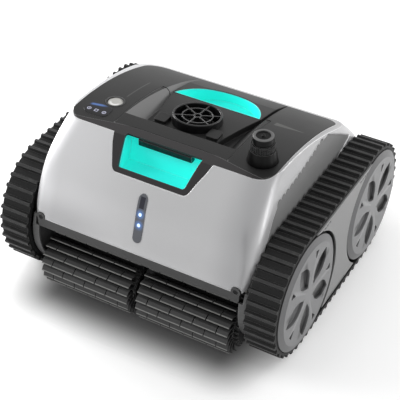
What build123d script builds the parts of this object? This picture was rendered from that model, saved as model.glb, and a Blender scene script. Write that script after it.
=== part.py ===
from build123d import *
from math import asin, atan2, cos, degrees, pi, radians, sin, sqrt, tan
import os

# A tracked robot pool cleaner. Millimetres. The origin lies on the floor under the middle of
# the machine, -Y is the front (brush and light side), +X the right side, +Z up.

# ---------------------------------------------------------------- driving dimensions
WHEELBASE = 200.0  # front axle to rear axle
TRACK_GAUGE = 362.0  # middle of the left track to middle of the right track
TRACK_WIDTH = 42.0
BELT_R = 82.4  # outer face of the belt round a wheel, lugs not counted
BELT_THICK = 3.4
LUG_HEIGHT = 4.1
LUG_COUNT = 63
LUG_ROOT = 7.0  # lug thickness where it leaves the belt
LUG_TIP = 3.6

BODY_HALF = 159.0  # widest half width of the shell
BODY_WAIST_Z = 150.0  # height of that width
SHELL_BASE_Z = 118.0  # lower rim of the shell
SHELL_WALL = 3.0
CORNER_R = 36.0  # shell corners seen from above, at the top
FOOT_CORNER_R = 12.0  # the same corners at the lower rim
FOOT_R = 26.0  # lower front corners of the shell seen from the front
FOOT_FROM = 148.0  # the corners are rounded beyond this distance from the middle
# ends of the shell at rising heights: (height, beyond the front axle, beyond the rear axle)
SHELL_STATIONS = (
    (118.0, 74.0, 72.0),
    (140.0, 67.0, 60.0),
    (170.0, 57.0, 38.0),
    (193.0, 46.0, 17.0),
    (210.0, 32.0, 3.0),
    (226.0, 15.0, -8.0),
    (242.0, -8.0, -16.0),
)
ROOF_R = 419.0  # arc of the deck seen from the side
ROOF_Y = -73.0  # highest line of the deck
ROOF_Z = 236.6

DECK_HALF = 145.0  # half width of the black deck
DECK_FRONT = 101.0
DECK_REAR = 111.5
DECK_CORNER_R = 24.0
DECK_WALL = 3.0
CREASE_Y = -83.5  # front edge of the lid and of the deck
CREASE_SWEEP = 14.0  # how far the edge runs forward at the deck's corners
SEAM = 0.4  # parting gap between fixed and moving covers

CHANNEL_HALF = 62.0  # foot of the sunken channel's side facets
CHANNEL_FRONT = -61.0
CHANNEL_R = 483.0  # arc of the channel floor seen from the side
CHANNEL_Y = -56.6
CHANNEL_Z = 218.4
FACET_RUN = 18.0  # width of the slanting facet up to the deck
HUMP_RISE = 9.0
HUMP_FRONT = -50.0
HUMP_FRONT_HALF = 47.0
HUMP_REAR_HALF = 66.0
SHEET = 2.5  # wall of the lid and channel mouldings

LID_HALF = 81.0
HINGE_Y = 26.5
HINGE_PIN_R = 1.5

OUTLET_Y = -16.0
OUTLET_R = 32.4
OUTLET_TILT = 7.5
OUTLET_TOP = 235.2

BRUSH_Y = WHEELBASE / 2 + 50.0  # brush axis from the middle of the machine
BRUSH_Z = 42.0
BRUSH_R = 39.0
BRUSH_DRUM_R = 19.0
BRUSH_HALF = 142.8
BRUSH_SHAFT_R = 8.0
FIN_ROWS = 16
FIN_TABS = 5
FIN_THICK = 2.2
SLIT = 1.2

CHASSIS_HALF = 139.0
CHASSIS_END = WHEELBASE / 2 + 6.0  # front and rear walls of the tub
CHASSIS_FLOOR = 12.0
CHASSIS_WALL = 3.0
FRAME_IN = 153.0  # inner face of the side frames
FRAME_THICK = 4.0
FENDER_R = 75.5
AXLE_R = 6.0
BUSH_R = 8.0
HUB_R = 13.0
RUN_FIT = 0.05  # radial clearance of shafts and bushes
CLEAR = 0.4  # clearance between parts that move past each other

TOWER_R = 26.0
TOWER_WALL = 1.8
TOWER_TOP = 212.0
BASKET_FLOOR = 60.0
BASKET_HALF = 74.0
BASKET_FRONT = -74.0
BASKET_REAR = 16.0
BASKET_TOP = 198.0
INLET_X = 49.0
INLET_WIDE = 30.0
INLET_LONG = 46.0

# values that follow from the sizes above
AXLE_Z = BELT_R + LUG_HEIGHT
TRACK_MID = TRACK_GAUGE / 2
TRACK_IN = TRACK_MID - TRACK_WIDTH / 2
TRACK_OUT = TRACK_MID + TRACK_WIDTH / 2
BELT_IN_R = BELT_R - BELT_THICK
WHEEL_R = BELT_IN_R - CLEAR
ROOF_AXIS_Z = ROOF_Z - ROOF_R
CHANNEL_AXIS_Z = CHANNEL_Z - CHANNEL_R

os.makedirs("parts", exist_ok=True)


# ---------------------------------------------------------------- shared shapes
def block(x0, x1, y0, y1, z0, z1):
    return Pos((x0 + x1) / 2, (y0 + y1) / 2, (z0 + z1) / 2) * Box(x1 - x0, y1 - y0, z1 - z0)


def rod_x(r, x0, x1, y, z):
    return Pos((x0 + x1) / 2, y, z) * Rot(0, 90, 0) * Cylinder(r, abs(x1 - x0))


def rod_y(r, x, y0, y1, z):
    return Pos(x, (y0 + y1) / 2, z) * Rot(90, 0, 0) * Cylinder(r, abs(y1 - y0))


def rod_z(r, x, y, z0, z1):
    return Pos(x, y, (z0 + z1) / 2) * Cylinder(r, z1 - z0)


def plate_x(face, x0, x1):
    """A flat face in (y, z) made a plate from x0 to x1."""
    return Pos(x0, 0, 0) * extrude(Plane.YZ * face, x1 - x0, dir=(1, 0, 0))


def plate_y(face, y0, y1):
    """A flat face in (x, z) made a plate from y0 to y1."""
    return Pos(0, y0, 0) * extrude(Plane.XZ * face, y1 - y0, dir=(0, 1, 0))


def plate_z(face, z0, z1):
    """A flat face in (x, y) made a prism from z0 to z1."""
    return Pos(0, 0, z0) * extrude(face, z1 - z0, dir=(0, 0, 1))


def outline(points):
    """A face through the points, facing up whichever way round they run."""
    pairs = zip(points, points[1:] + points[:1])
    turning = sum(p[0] * q[1] - q[0] * p[1] for p, q in pairs)
    return Polygon(*(points if turning > 0 else points[::-1]), align=None)


def rounded(face, radius):
    return fillet(face.vertices(), radius)


def rounded_at(face, radius, low=None, high=None):
    """Rounds the corners of a face whose y lies between low and high."""
    picked = [
        v
        for v in face.vertices()
        if (low is None or v.Y > low) and (high is None or v.Y < high)
    ]
    return fillet(picked, radius)


def one_solid(shape):
    return max(shape.solids(), key=lambda s: s.volume)


def flip_side(shape):
    return mirror(shape, about=Plane.YZ)


def write(name, shape):
    export_step(shape, "parts/" + name + ".step")


# ---------------------------------------------------------------- body surfaces
def body_half(z):
    """Half width of the shell: widest at the waist, drawn in above and below."""
    above = 10.5 * ((z - BODY_WAIST_Z) / 87.0) ** 2
    below = 6.0 * ((BODY_WAIST_Z - z) / 32.0) ** 2
    return BODY_HALF - (above if z > BODY_WAIST_Z else below)


def roof_z(y):
    return ROOF_AXIS_Z + sqrt(ROOF_R**2 - (y - ROOF_Y) ** 2)


def under_roof(drop):
    """Everything under the deck's arc, lowered by drop."""
    radius = ROOF_R - drop
    reach = BODY_HALF + 40.0
    arc = rod_x(radius, -reach, reach, ROOF_Y, ROOF_AXIS_Z)
    return arc & block(-reach, reach, -220, 220, 60, ROOF_Z + 10)


def hull(inset, base=SHELL_BASE_Z):
    """The shell's outer form, drawn in by inset, as a loft through rounded sections."""
    sections = []
    low, high = SHELL_STATIONS[0][0], SHELL_STATIONS[-1][0]
    for z, ahead, back in SHELL_STATIONS:
        half = body_half(z) - inset
        front, rear = -WHEELBASE / 2 - ahead + inset, WHEELBASE / 2 + back - inset
        corner = FOOT_CORNER_R + (CORNER_R - FOOT_CORNER_R) * (z - low) / (high - low)
        face = RectangleRounded(2 * half, rear - front, corner - inset)
        if z == SHELL_BASE_Z:
            z = base
        sections.append(Pos(0, (front + rear) / 2, z) * face)
    form = loft(sections)
    wide, low = BODY_HALF + 9 - inset, SHELL_BASE_Z - 1
    foot = outline([(-wide, low), (wide, low), (wide, ROOF_Z + 20), (-wide, ROOF_Z + 20)])
    foot = rounded_at(foot, FOOT_R, high=low + 5)
    ends = plate_y(foot, -240, -FOOT_FROM) + plate_y(foot, FOOT_FROM, 240)
    trunk = block(-BODY_HALF - 9, BODY_HALF + 9, -FOOT_FROM, FOOT_FROM, base - 1, ROOF_Z + 20)
    return form & under_roof(inset) & (ends + trunk)


HULL = hull(0)
HULL_INSIDE = hull(SHELL_WALL, SHELL_BASE_Z - 2)
WALL = HULL - HULL_INSIDE
ROOF_SLAB = HULL - under_roof(DECK_WALL)


# ---------------------------------------------------------------- covers seen from above
def deck_face(grow=0.0):
    face = outline(
        [
            (-DECK_HALF - grow, -DECK_FRONT - grow),
            (DECK_HALF + grow, -DECK_FRONT - grow),
            (DECK_HALF + grow, DECK_REAR + grow),
            (-DECK_HALF - grow, DECK_REAR + grow),
        ]
    )
    return rounded(face, DECK_CORNER_R)


def behind_crease(shift=0.0):
    """The part of the plan behind the swept front edge of the lid and deck."""
    half, flat = DECK_HALF + 10, 60.0
    y = CREASE_Y + shift
    line = Polyline((-half, y - CREASE_SWEEP), (-half, 200), (half, 200), (half, y - CREASE_SWEEP))
    bend = Spline(
        (half, y - CREASE_SWEEP),
        ((half + flat) / 2, y - CREASE_SWEEP * 0.62),
        (flat, y - 0.6),
        (0, y),
        (-flat, y - 0.6),
        (-(half + flat) / 2, y - CREASE_SWEEP * 0.62),
        (-half, y - CREASE_SWEEP),
    )
    return make_face(line + bend)


TONGUE_TOP_HALF = 74.0
TONGUE_FOOT_HALF = 53.0
TONGUE_FOOT = -137.0


def tongue_face(shrink=0.0):
    """The frame round the front hand grip, seen from above."""
    face = outline(
        [
            (-TONGUE_TOP_HALF + shrink, -DECK_FRONT + 8),
            (-TONGUE_TOP_HALF + 7 + shrink, -DECK_FRONT - 11),
            (-TONGUE_FOOT_HALF + shrink, TONGUE_FOOT + shrink),
            (TONGUE_FOOT_HALF - shrink, TONGUE_FOOT + shrink),
            (TONGUE_TOP_HALF - 7 - shrink, -DECK_FRONT - 11),
            (TONGUE_TOP_HALF - shrink, -DECK_FRONT + 8),
        ]
    )
    return rounded_at(face, 9.0, high=-DECK_FRONT + 2)


GRIP_TOP_HALF = 54.0
GRIP_FOOT_HALF = 46.0
GRIP_TOP_Y = -98.5
GRIP_FOOT_Y = -130.5
GRIP_STEP = 1.7  # the frame's opening stands back this far from the pocket's mouth


def grip_face(grow=0.0):
    """The mouth of the front hand grip, seen from above."""
    face = outline(
        [
            (-GRIP_TOP_HALF - grow, GRIP_TOP_Y + grow),
            (-GRIP_FOOT_HALF - grow, GRIP_FOOT_Y - grow),
            (GRIP_FOOT_HALF + grow, GRIP_FOOT_Y - grow),
            (GRIP_TOP_HALF + grow, GRIP_TOP_Y + grow),
        ]
    )
    return rounded(face, 4.0)


def high_prism(face):
    return plate_z(face, 60, 300)


DECK_PRISM = high_prism(deck_face())
TONGUE_PRISM = high_prism(tongue_face())
GRIP_PRISM = high_prism(grip_face(GRIP_STEP))
CREASE_PRISM = high_prism(behind_crease())

# ---------------------------------------------------------------- light bar on the front
LIGHT_HALF = 6.3
LIGHT_LOW, LIGHT_HIGH = 133.5, 194.0
LENS_R = 2.3
LENS_HEIGHTS = (156.0, 169.8)


def make_light():
    """The light bar let into the front of the shell, with its two lenses."""
    middle = (LIGHT_LOW + LIGHT_HIGH) / 2
    slot = SlotOverall(LIGHT_HIGH - LIGHT_LOW, 2 * LIGHT_HALF, rotation=90)
    through = plate_y(Pos(0, middle) * slot, -200, -100)
    discs = Sketch() + [Pos(0, z) * Circle(LENS_R) for z in LENS_HEIGHTS]
    lens_hole = plate_y(discs, -200, -100)
    bar = (hull(-0.6) - HULL_INSIDE) & through - lens_hole
    lenses = (hull(-1.0) - hull(SHELL_WALL - 1)) & lens_hole
    return through, bar, lenses


LIGHT_PRISM, light_bar, light_lenses = make_light()

# ---------------------------------------------------------------- side panels
PANEL_PITCH = 11.2
PANEL_BUMP_R = 6.2
PANEL_START = (-95.0, 201.0)  # front end of the scalloped edge, (y, z)
PANEL_SAG = (-33.0, 201.8)
PANEL_CROWN = (36.0, 215.2)  # rear end of the scalloped edge


def panel_profile():
    """The grey side panel seen from the side, with its scalloped upper edge."""
    crest = Bezier(PANEL_START, PANEL_SAG, PANEL_CROWN)
    rest = Polyline(
        PANEL_CROWN,
        (50, 217),
        (114, 178),
        (64, 163),
        (52, 130),
        (-149, 130),
        (-142, 147),
        (-120, 176),
        (-110, 189),
        PANEL_START,
    )
    count = round(crest.length / PANEL_PITCH)
    bumps = [crest.position_at((i + 0.5) / count) for i in range(count)]
    return make_face(crest + rest) + [Pos(p.X, p.Y) * Circle(PANEL_BUMP_R) for p in bumps]


PANEL_PRISM = plate_x(panel_profile(), 120, 180)
PANEL_PRISMS = PANEL_PRISM + flip_side(PANEL_PRISM)
right_side_panel = one_solid((hull(0.9) - HULL_INSIDE) & PANEL_PRISM - DECK_PRISM)
left_side_panel = flip_side(right_side_panel)

# ---------------------------------------------------------------- bumpers and their screws
BUMPER_LOW = 104.0
BUMPER_HALF = 147.5
BUMPER_OUT = WHEELBASE / 2 + 74.0
BUMPER_THICK = 7.0
BUMPER_IN = BUMPER_OUT - BUMPER_THICK
EAR = (142.6, 119.5)  # screw in each ear, (x, z)
EAR_R = 6.4
SCREW_R = 2.0
SCREW_HEAD_R = 3.8
SCREW_HEAD = 2.2


def screw_y(x, y, z, out):
    """A round-headed screw whose head stands at y and faces out along Y."""
    head = rod_y(SCREW_HEAD_R, x, y, y - out * SCREW_HEAD, z)
    return head + rod_y(SCREW_R, x, y - out * SCREW_HEAD, y - out * 7, z)


def make_bumper(out):
    """The bar under the shell's rim; out is -1 at the front and 1 at the rear."""
    y0, y1 = sorted((out * BUMPER_OUT, out * BUMPER_IN))
    bar = rounded(Rectangle(2 * BUMPER_HALF, SHELL_BASE_Z - BUMPER_LOW), 4)
    bar = Pos(0, (SHELL_BASE_Z + BUMPER_LOW) / 2) * bar
    face = bar + [Pos(side * EAR[0], EAR[1]) * Circle(EAR_R) for side in (-1, 1)]
    bumper = plate_y(face, y0, y1)
    for side in (-1, 1):
        bumper = bumper - screw_y(side * EAR[0], out * (BUMPER_OUT - 0.6), EAR[1], out)
        sunk = out * (BUMPER_OUT - 2)
        bumper = bumper - rod_y(SCREW_HEAD_R, side * EAR[0], out * BUMPER_OUT, sunk, EAR[1])
    return bumper


front_bumper = make_bumper(-1)
rear_bumper = make_bumper(1)
ears = []
for side in (-1, 1):
    ears.append(rod_y(EAR_R + SEAM, side * EAR[0], -200, -160, EAR[1]))
    ears.append(rod_y(EAR_R + SEAM, side * EAR[0], 160, 200, EAR[1]))

# ---------------------------------------------------------------- silver shell
shell = WALL - DECK_PRISM - TONGUE_PRISM - LIGHT_PRISM - PANEL_PRISMS - ears
shell = one_solid(shell)

# ---------------------------------------------------------------- front hand grip
GRIP_WALL = 2.0
GRIP_FLOOR_Z = 199.0
LATCH_TOP_Z = 232.2
LATCH_LOW_Z = 223.0
LATCH_Y0, LATCH_Y1 = -97.6, -89.5
LATCH_HALF = 38.0


def grip_air(grow):
    """The hollow of the hand grip: open at the front and top, closed behind and below."""
    plan = outline(
        [
            (-GRIP_TOP_HALF - grow, -89 + grow),
            (-GRIP_TOP_HALF - grow, GRIP_TOP_Y),
            (-GRIP_FOOT_HALF - grow, GRIP_FOOT_Y - grow),
            (GRIP_FOOT_HALF + grow, GRIP_FOOT_Y - grow),
            (GRIP_TOP_HALF + grow, GRIP_TOP_Y),
            (GRIP_TOP_HALF + grow, -89 + grow),
        ]
    )
    side = outline(
        [
            (GRIP_FOOT_Y - grow, ROOF_Z + 10),
            (GRIP_FOOT_Y - grow, 204 - grow),
            (-124, GRIP_FLOOR_Z - grow),
            (-97 + grow / 2, GRIP_FLOOR_Z - 3 - grow),
            (-89 + grow, LATCH_LOW_Z - 3),
            (-89 + grow, ROOF_Z + 10),
        ]
    )
    return plate_z(rounded_at(plan, 4, high=-100), 150, 260) & plate_x(side, -90, 90)


grip_hollow = grip_air(0)
grip_tub = (grip_air(GRIP_WALL) - grip_hollow) & hull(SHELL_WALL + RUN_FIT)
strip = block(-100, 100, GRIP_TOP_Y + GRIP_STEP, -60, 150, 260)
front_grip_pocket = one_solid(grip_tub)
bezel_zone = (DECK_PRISM + TONGUE_PRISM) - CREASE_PRISM
grip_bezel = (WALL & bezel_zone) - (GRIP_PRISM + grip_hollow - strip)
grip_bezel = one_solid(grip_bezel)

# latch bar along the top of the grip: it slides forward on two guide pins
GUIDE_X, GUIDE_Z = 30.0, 226.5
GUIDE_R = 1.6
CATCH_Y = -81.2  # rear face of the plate that faces the lid's catch


def make_latch():
    side = [(LATCH_Y0, LATCH_LOW_Z), (LATCH_Y1, LATCH_LOW_Z), (LATCH_Y1, LATCH_TOP_Z)]
    side = outline([*side, (LATCH_Y0, LATCH_TOP_Z)])
    bar = plate_x(rounded(side, 1.2), -LATCH_HALF, LATCH_HALF)
    bar = bar + block(-11, 11, LATCH_Y1 - 1, CATCH_Y, 223.6, 225.4)
    bar = bar + block(-11, 11, CATCH_Y - 1.8, CATCH_Y, 223.6, 230)
    for side in (-1, 1):
        bar = bar + rod_y(GUIDE_R, side * GUIDE_X, LATCH_Y1 - 1, -80.5, GUIDE_Z)
    return bar


lid_latch = make_latch()
for side in (-1, 1):
    front_grip_pocket = front_grip_pocket + rod_y(3.4, side * GUIDE_X, -88, -83.5, GUIDE_Z)
    front_grip_pocket = front_grip_pocket - rod_y(GUIDE_R + RUN_FIT, side * GUIDE_X, -92, -83, GUIDE_Z)
front_grip_pocket = front_grip_pocket - block(-12.5, 12.5, -92, -80, 219, 236)

# ---------------------------------------------------------------- sunken channel of the deck


def channel_slice(points, y0, y1):
    """A section in (x, height over the channel floor) swept along the floor's arc."""
    face = Pos(0, CHANNEL_Y, 0) * (Plane.XZ * outline([(x, CHANNEL_Z + h) for x, h in points]))
    start = degrees(asin((y0 - CHANNEL_Y) / CHANNEL_R))
    turn = degrees(asin((y1 - CHANNEL_Y) / CHANNEL_R)) - start
    axis = Axis((0, CHANNEL_Y, CHANNEL_AXIS_Z), (-1, 0, 0))
    return revolve(face.rotate(axis, start), axis, turn)


def hump_prism(shrink):
    """The hump seen from above: it widens from its front end to the rear hand grip."""
    front, rear = HUMP_FRONT_HALF - shrink, HUMP_REAR_HALF - shrink
    y0, y1 = HUMP_FRONT + shrink, REAR_GRIP_Y
    points = [(-front, y0), (front, y0), (rear, y1), (rear, 140), (-rear, 140), (-rear, y1)]
    return high_prism(outline(points))


def channel_air(drop, y0, y1):
    """The open space of the channel over its floor, its facets and the hump, lowered by drop."""
    half, top = CHANNEL_HALF + drop * 0.6, FACET_RUN + 24.0
    lows = [(-half - top, top), (-half, -drop), (half, -drop), (half + top, top)]
    rise = HUMP_RISE - drop
    highs = [(-half - top, top), (-half - HUMP_RISE, rise), (half + HUMP_RISE, rise), (half + top, top)]
    hump = hump_prism(drop)
    return (channel_slice(lows, y0, y1) - hump) + (channel_slice(highs, y0, y1) & hump)


CHANNEL_REAR = 104.0
REAR_GRIP_HALF = 62.5
REAR_GRIP_Y = 33.5
REAR_GRIP_DEEP = 48.0
REAR_GRIP_FLOOR = 193.0

air = channel_air(0, CHANNEL_FRONT, 130)
tray = channel_air(SHEET, CHANNEL_FRONT - SHEET, CHANNEL_REAR) - air
top_cover = (ROOF_SLAB - air) + (tray & HULL)
top_cover = top_cover & DECK_PRISM & CREASE_PRISM

# ---------------------------------------------------------------- rear hand grip


def crescent(grow):
    """The rear hand grip seen from above: a straight front edge and a curved rear edge."""
    half, y = REAR_GRIP_HALF + grow, REAR_GRIP_Y - grow
    bow = ThreePointArc((-half, y), (0, y + REAR_GRIP_DEEP + 2 * grow), (half, y))
    return make_face(bow + Line((half, y), (-half, y)))


crescent_hole = plate_z(crescent(GRIP_WALL), 150, 260)
rear_tub = plate_z(crescent(GRIP_WALL), REAR_GRIP_FLOOR - GRIP_WALL, 240)
rear_tub = rear_tub - plate_z(crescent(0), REAR_GRIP_FLOOR, 250)
rear_grip_pocket = one_solid((rear_tub - air) & under_roof(0.5))

# ---------------------------------------------------------------- lid and its hinge
HINGE_Z = roof_z(HINGE_Y) - 3.5
BARREL_R = 3.8
BARREL_CLEAR_R = 4.9


def lid_block(side, rear, barrel):
    """The space of the lid: forward of the hinge line, with the barrel round the hinge."""
    zone = block(-side, side, -140, rear, 150, 260)
    return zone + rod_x(barrel, -side, side, HINGE_Y, HINGE_Z)


lid_top = top_cover & lid_block(LID_HALF, HINGE_Y, BARREL_R) & plate_z(behind_crease(SEAM), 60, 300)
deck = top_cover - lid_block(LID_HALF + SEAM, HINGE_Y + SEAM, BARREL_CLEAR_R) - crescent_hole

outlet = Pos(0, OUTLET_Y, OUTLET_TOP) * Rot(-OUTLET_TILT, 0, 0)
COLLAR_WALL = 3.0
COLLAR_DEEP = 13.0
lid = one_solid(lid_top)

# catch lip under the lid's front edge, and the two clips beside the outlet
LIP_Y = CATCH_Y + 0.6
lid = lid + block(-9, 9, LIP_Y + 2.5, LIP_Y + 4.5, 226, roof_z(LIP_Y) - 1)
lid = lid + block(-9, 9, LIP_Y, LIP_Y + 4.5, 226, 228)
for side in (-1, 1):
    clip = rounded(outline([(29, -49), (46, -49), (46, -31), (29, -31)]), 3)
    clip = plate_z(clip, 214, 232)
    if side < 0:
        clip = flip_side(clip)
    lid = lid + (clip & outlet * Pos(0, 0, -14) * Box(200, 200, 20))
    lid = lid + rod_x(BARREL_R, side * (LID_HALF - 4), side * LID_HALF, HINGE_Y, HINGE_Z)
    lid = lid - rod_x(HINGE_PIN_R + RUN_FIT, side * (LID_HALF - 5), side * LID_HALF, HINGE_Y, HINGE_Z)
lid = lid - outlet * Cylinder(OUTLET_R + RUN_FIT, 60)
hinge_pins = []
for side in (-1, 1):
    boss = rod_x(4.5, side * (LID_HALF + SEAM), side * (LID_HALF + 9), HINGE_Y, HINGE_Z)
    deck = deck + (boss & under_roof(1))
    pin = rod_x(HINGE_PIN_R, side * (LID_HALF - 4), side * (LID_HALF + 9), HINGE_Y, HINGE_Z)
    deck = deck - pin
    hinge_pins.append(pin)
hinge_pins = Compound(children=hinge_pins)

# ---------------------------------------------------------------- outlet grille


def make_grille():
    """The round outlet: a collar, two inner rings, six spokes and a hub."""
    collar = Cylinder(OUTLET_R, COLLAR_DEEP) - Cylinder(OUTLET_R - COLLAR_WALL, COLLAR_DEEP)
    collar = Pos(0, 0, -COLLAR_DEEP / 2) * fillet(collar.edges().sort_by(Axis.Z)[-2:], 1.2)
    web = Cylinder(20.4, 2.4) - Cylinder(19.0, 2.4)
    for i in range(6):
        spoke = Pos(OUTLET_R / 2 - 1, 0, 0) * Box(OUTLET_R - 2, 1.4, 2.4)
        web = web + Rot(0, 0, 60 * i + 30) * spoke
    web = web + Cylinder(5.4, 2.4) - Cylinder(3.8, 2.4)
    return outlet * (collar + Pos(0, 0, -3.4) * web)


outlet_grille = make_grille()
lid = one_solid(lid & high_prism(deck_face()))

# ---------------------------------------------------------------- controls on the deck
BUTTON_X, BUTTON_Y = -105.6, -45.5
BUTTON_R = 10.4
BUTTON_TRAVEL = 1.5
BUTTON_PIN_R = 4.0
PAD_X, PAD_Y = -114.0, -73.0
SOCKET_X, SOCKET_Y = 117.6, -63.6
button_z = roof_z(BUTTON_Y)
socket_z = roof_z(SOCKET_Y)

pad_face = Pos(PAD_X, PAD_Y) * rounded(Rectangle(35, 25), 9)
pad_prism = plate_z(pad_face, 200, 260)
icon_pad = pad_prism & (under_roof(-0.4) - under_roof(1.4))
ring_hole = rod_z(BUTTON_R + 2.4, BUTTON_X, BUTTON_Y, 200, 260)
button_bezel = rod_z(BUTTON_R + 2.4, BUTTON_X, BUTTON_Y, button_z - 8, button_z + 8)
button_bezel = button_bezel & under_roof(-0.5)
button_bezel = button_bezel - rod_z(BUTTON_R + CLEAR, BUTTON_X, BUTTON_Y, button_z - 5, 260)
button_bezel = button_bezel - rod_z(BUTTON_PIN_R + RUN_FIT, BUTTON_X, BUTTON_Y, 200, 260)
power_button = rod_z(BUTTON_R, BUTTON_X, BUTTON_Y, button_z - 3.2, button_z - 0.6)
power_button = fillet(power_button.edges().sort_by(Axis.Z)[-1], 0.8)
power_button = power_button + rod_z(BUTTON_PIN_R, BUTTON_X, BUTTON_Y, button_z - 8, button_z - 3)
SOCKET_BASE_R = 19.5
SOCKET_TOP_R = 16.2
SOCKET_UP = 17.5
CAP_SKIRT_R = 15.3
CAP_TOP = 37.0
SOCKET_CONE = Cone(SOCKET_BASE_R, SOCKET_TOP_R, SOCKET_UP + 2)


def make_socket():
    """The charging boss: a cone on the deck with a bore and three contact pins."""
    boss = Pos(0, 0, (SOCKET_UP - 2) / 2) * SOCKET_CONE + Pos(0, 0, -7) * Cylinder(17.5, 14)
    boss = boss - Pos(0, 0, SOCKET_UP - 12) * Cylinder(10, 24.2)
    for i in range(3):
        boss = boss + Rot(0, 0, 120 * i) * Pos(5, 0, -2) * Cylinder(1.2, 14)
    return boss + Pos(0, 0, -9) * Cylinder(17.5, 8)


def make_cap():
    """The screw cap over the boss: a knurled skirt, a stepped barrel and a flat top."""
    low, knurl = SOCKET_UP + 0.4, 8.5
    skirt = Pos(0, 0, low + knurl / 2) * Cylinder(CAP_SKIRT_R, knurl)
    for i in range(30):
        groove = Pos(CAP_SKIRT_R + 0.2, 0, low + knurl / 2) * Cylinder(0.9, knurl)
        skirt = skirt - Rot(0, 0, 12 * i) * groove
    barrel = Pos(0, 0, (low + CAP_TOP) / 2) * Cylinder(12.9, CAP_TOP - low)
    barrel = chamfer(barrel.edges().sort_by(Axis.Z)[-1], 0.6)
    cup = Pos(0, 0, CAP_TOP) * Cylinder(9.5, 3.0)
    stud = Pos(0, 0, CAP_TOP - 1.6) * Cylinder(2.2, 3.0)
    plug = Pos(0, 0, low - 3) * (Cylinder(9.6, 6.4) - Cylinder(7.6, 7))
    return skirt + barrel - cup + stud + plug


charge_place = Pos(SOCKET_X, SOCKET_Y, socket_z)
socket_hole = Cylinder(17.5, 40) + Pos(0, 0, (SOCKET_UP - 2) / 2) * SOCKET_CONE
deck = deck - (pad_prism - under_roof(1.4)) - ring_hole - charge_place * socket_hole
deck = one_solid(deck)
charge_socket = charge_place * make_socket()
charge_cap = charge_place * make_cap()

# ---------------------------------------------------------------- tracks
def racetrack(radius):
    """The line of a belt round both wheels, at this radius from each axle, in (y, z)."""
    return Pos(0, AXLE_Z) * SlotCenterToCenter(WHEELBASE, 2 * radius)


def lug_spots():
    """Where each lug stands on the belt: (y, z, direction it points in degrees)."""
    arc = pi * BELT_R
    whole = 2 * WHEELBASE + 2 * arc
    spots = []
    for i in range(LUG_COUNT):
        s = (i + 0.5) * whole / LUG_COUNT
        if s < WHEELBASE:
            spots.append((WHEELBASE / 2 - s, AXLE_Z + BELT_R, 90))
        elif s < WHEELBASE + arc:
            turn = 90 + degrees((s - WHEELBASE) / BELT_R)
            y = -WHEELBASE / 2 + BELT_R * cos(radians(turn))
            spots.append((y, AXLE_Z + BELT_R * sin(radians(turn)), turn))
        elif s < 2 * WHEELBASE + arc:
            spots.append((s - WHEELBASE - arc - WHEELBASE / 2, AXLE_Z - BELT_R, 270))
        else:
            turn = 270 + degrees((s - 2 * WHEELBASE - arc) / BELT_R)
            y = WHEELBASE / 2 + BELT_R * cos(radians(turn))
            spots.append((y, AXLE_Z + BELT_R * sin(radians(turn)), turn))
    return spots


def make_track():
    """The belt with its lugs, all one outline pushed across the track's width."""
    root, tip, sink = LUG_ROOT / 2, LUG_TIP / 2, 0.6
    lug = outline([(-sink, -root), (-sink, root), (LUG_HEIGHT, tip), (LUG_HEIGHT, -tip)])
    lugs = [Pos(y, z) * Rot(0, 0, turn) * lug for y, z, turn in lug_spots()]
    band = racetrack(BELT_R) + lugs - racetrack(BELT_IN_R)
    return plate_x(band, TRACK_IN, TRACK_OUT)


right_track = make_track()
left_track = flip_side(right_track)

# ---------------------------------------------------------------- gears
RING_MODULE = 1.5
RING_TEETH, PINION_TEETH = 48, 12
HUB_TEETH, BRUSH_TEETH = 40, 20
GEAR_X0, GEAR_X1 = 141.0, 146.0
RING_X0, RING_X1 = 163.5, 173.0
BACKLASH = 0.34  # share of a tooth's width taken off each tooth
brush_reach = sqrt((BRUSH_Y - WHEELBASE / 2) ** 2 + (AXLE_Z - BRUSH_Z) ** 2)
BRUSH_MODULE = 2 * brush_reach / (HUB_TEETH + BRUSH_TEETH)
pinion_reach = RING_MODULE * (RING_TEETH - PINION_TEETH) / 2
PRESSURE = radians(20)


def involute_half(r, pitch_r, teeth):
    """Half the angle a tooth covers at radius r, in radians."""
    base = pitch_r * cos(PRESSURE)
    lean = sqrt(max((r / base) ** 2 - 1, 0))
    rolled = lean - atan2(lean, 1)
    return pi / (2 * teeth) * (1 - BACKLASH) + (tan(PRESSURE) - PRESSURE) - rolled


def tooth_line(pitch_r, teeth, low_r, high_r):
    """One tooth's outline from its foot to its tip and back, as points."""
    radii = [low_r + (high_r - low_r) * k / 4 for k in range(5)]
    rising = [(r, -involute_half(r, pitch_r, teeth)) for r in radii]
    falling = [(r, -a) for r, a in reversed(rising)]
    return [(r * cos(a), r * sin(a)) for r, a in rising + falling]


def gear_face(module, teeth, phase):
    """An external gear with a tooth centred at the phase angle, in degrees."""
    pitch_r = module * teeth / 2
    foot = pitch_r - 1.15 * module
    tooth = outline(tooth_line(pitch_r, teeth, foot - 0.3, pitch_r + 0.9 * module))
    spots = [Rot(0, 0, phase + 360 * i / teeth) * tooth for i in range(teeth)]
    return Circle(foot) + spots


def ring_face(module, teeth, phase, outer_r):
    """An internal gear with a gap centred at the phase angle, in degrees."""
    pitch_r = module * teeth / 2
    deep = pitch_r + 1.15 * module
    # the gap has the outline of an external tooth, wider by the backlash
    radii = [pitch_r - 0.9 * module - 0.3 + (1.75 * module + 0.3) * k / 4 for k in range(5)]
    extra = pi * BACKLASH / teeth
    rising = [(r, -involute_half(r, pitch_r, teeth) - extra) for r in radii]
    rising[-1] = (deep, rising[-1][1])
    line = rising + [(r, -a) for r, a in reversed(rising)]
    gap = outline([(r * cos(a), r * sin(a)) for r, a in line])
    spots = [Rot(0, 0, phase + 360 * i / teeth) * gap for i in range(teeth)]
    return Circle(outer_r) - Circle(pitch_r - 0.85 * module) - spots


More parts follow.
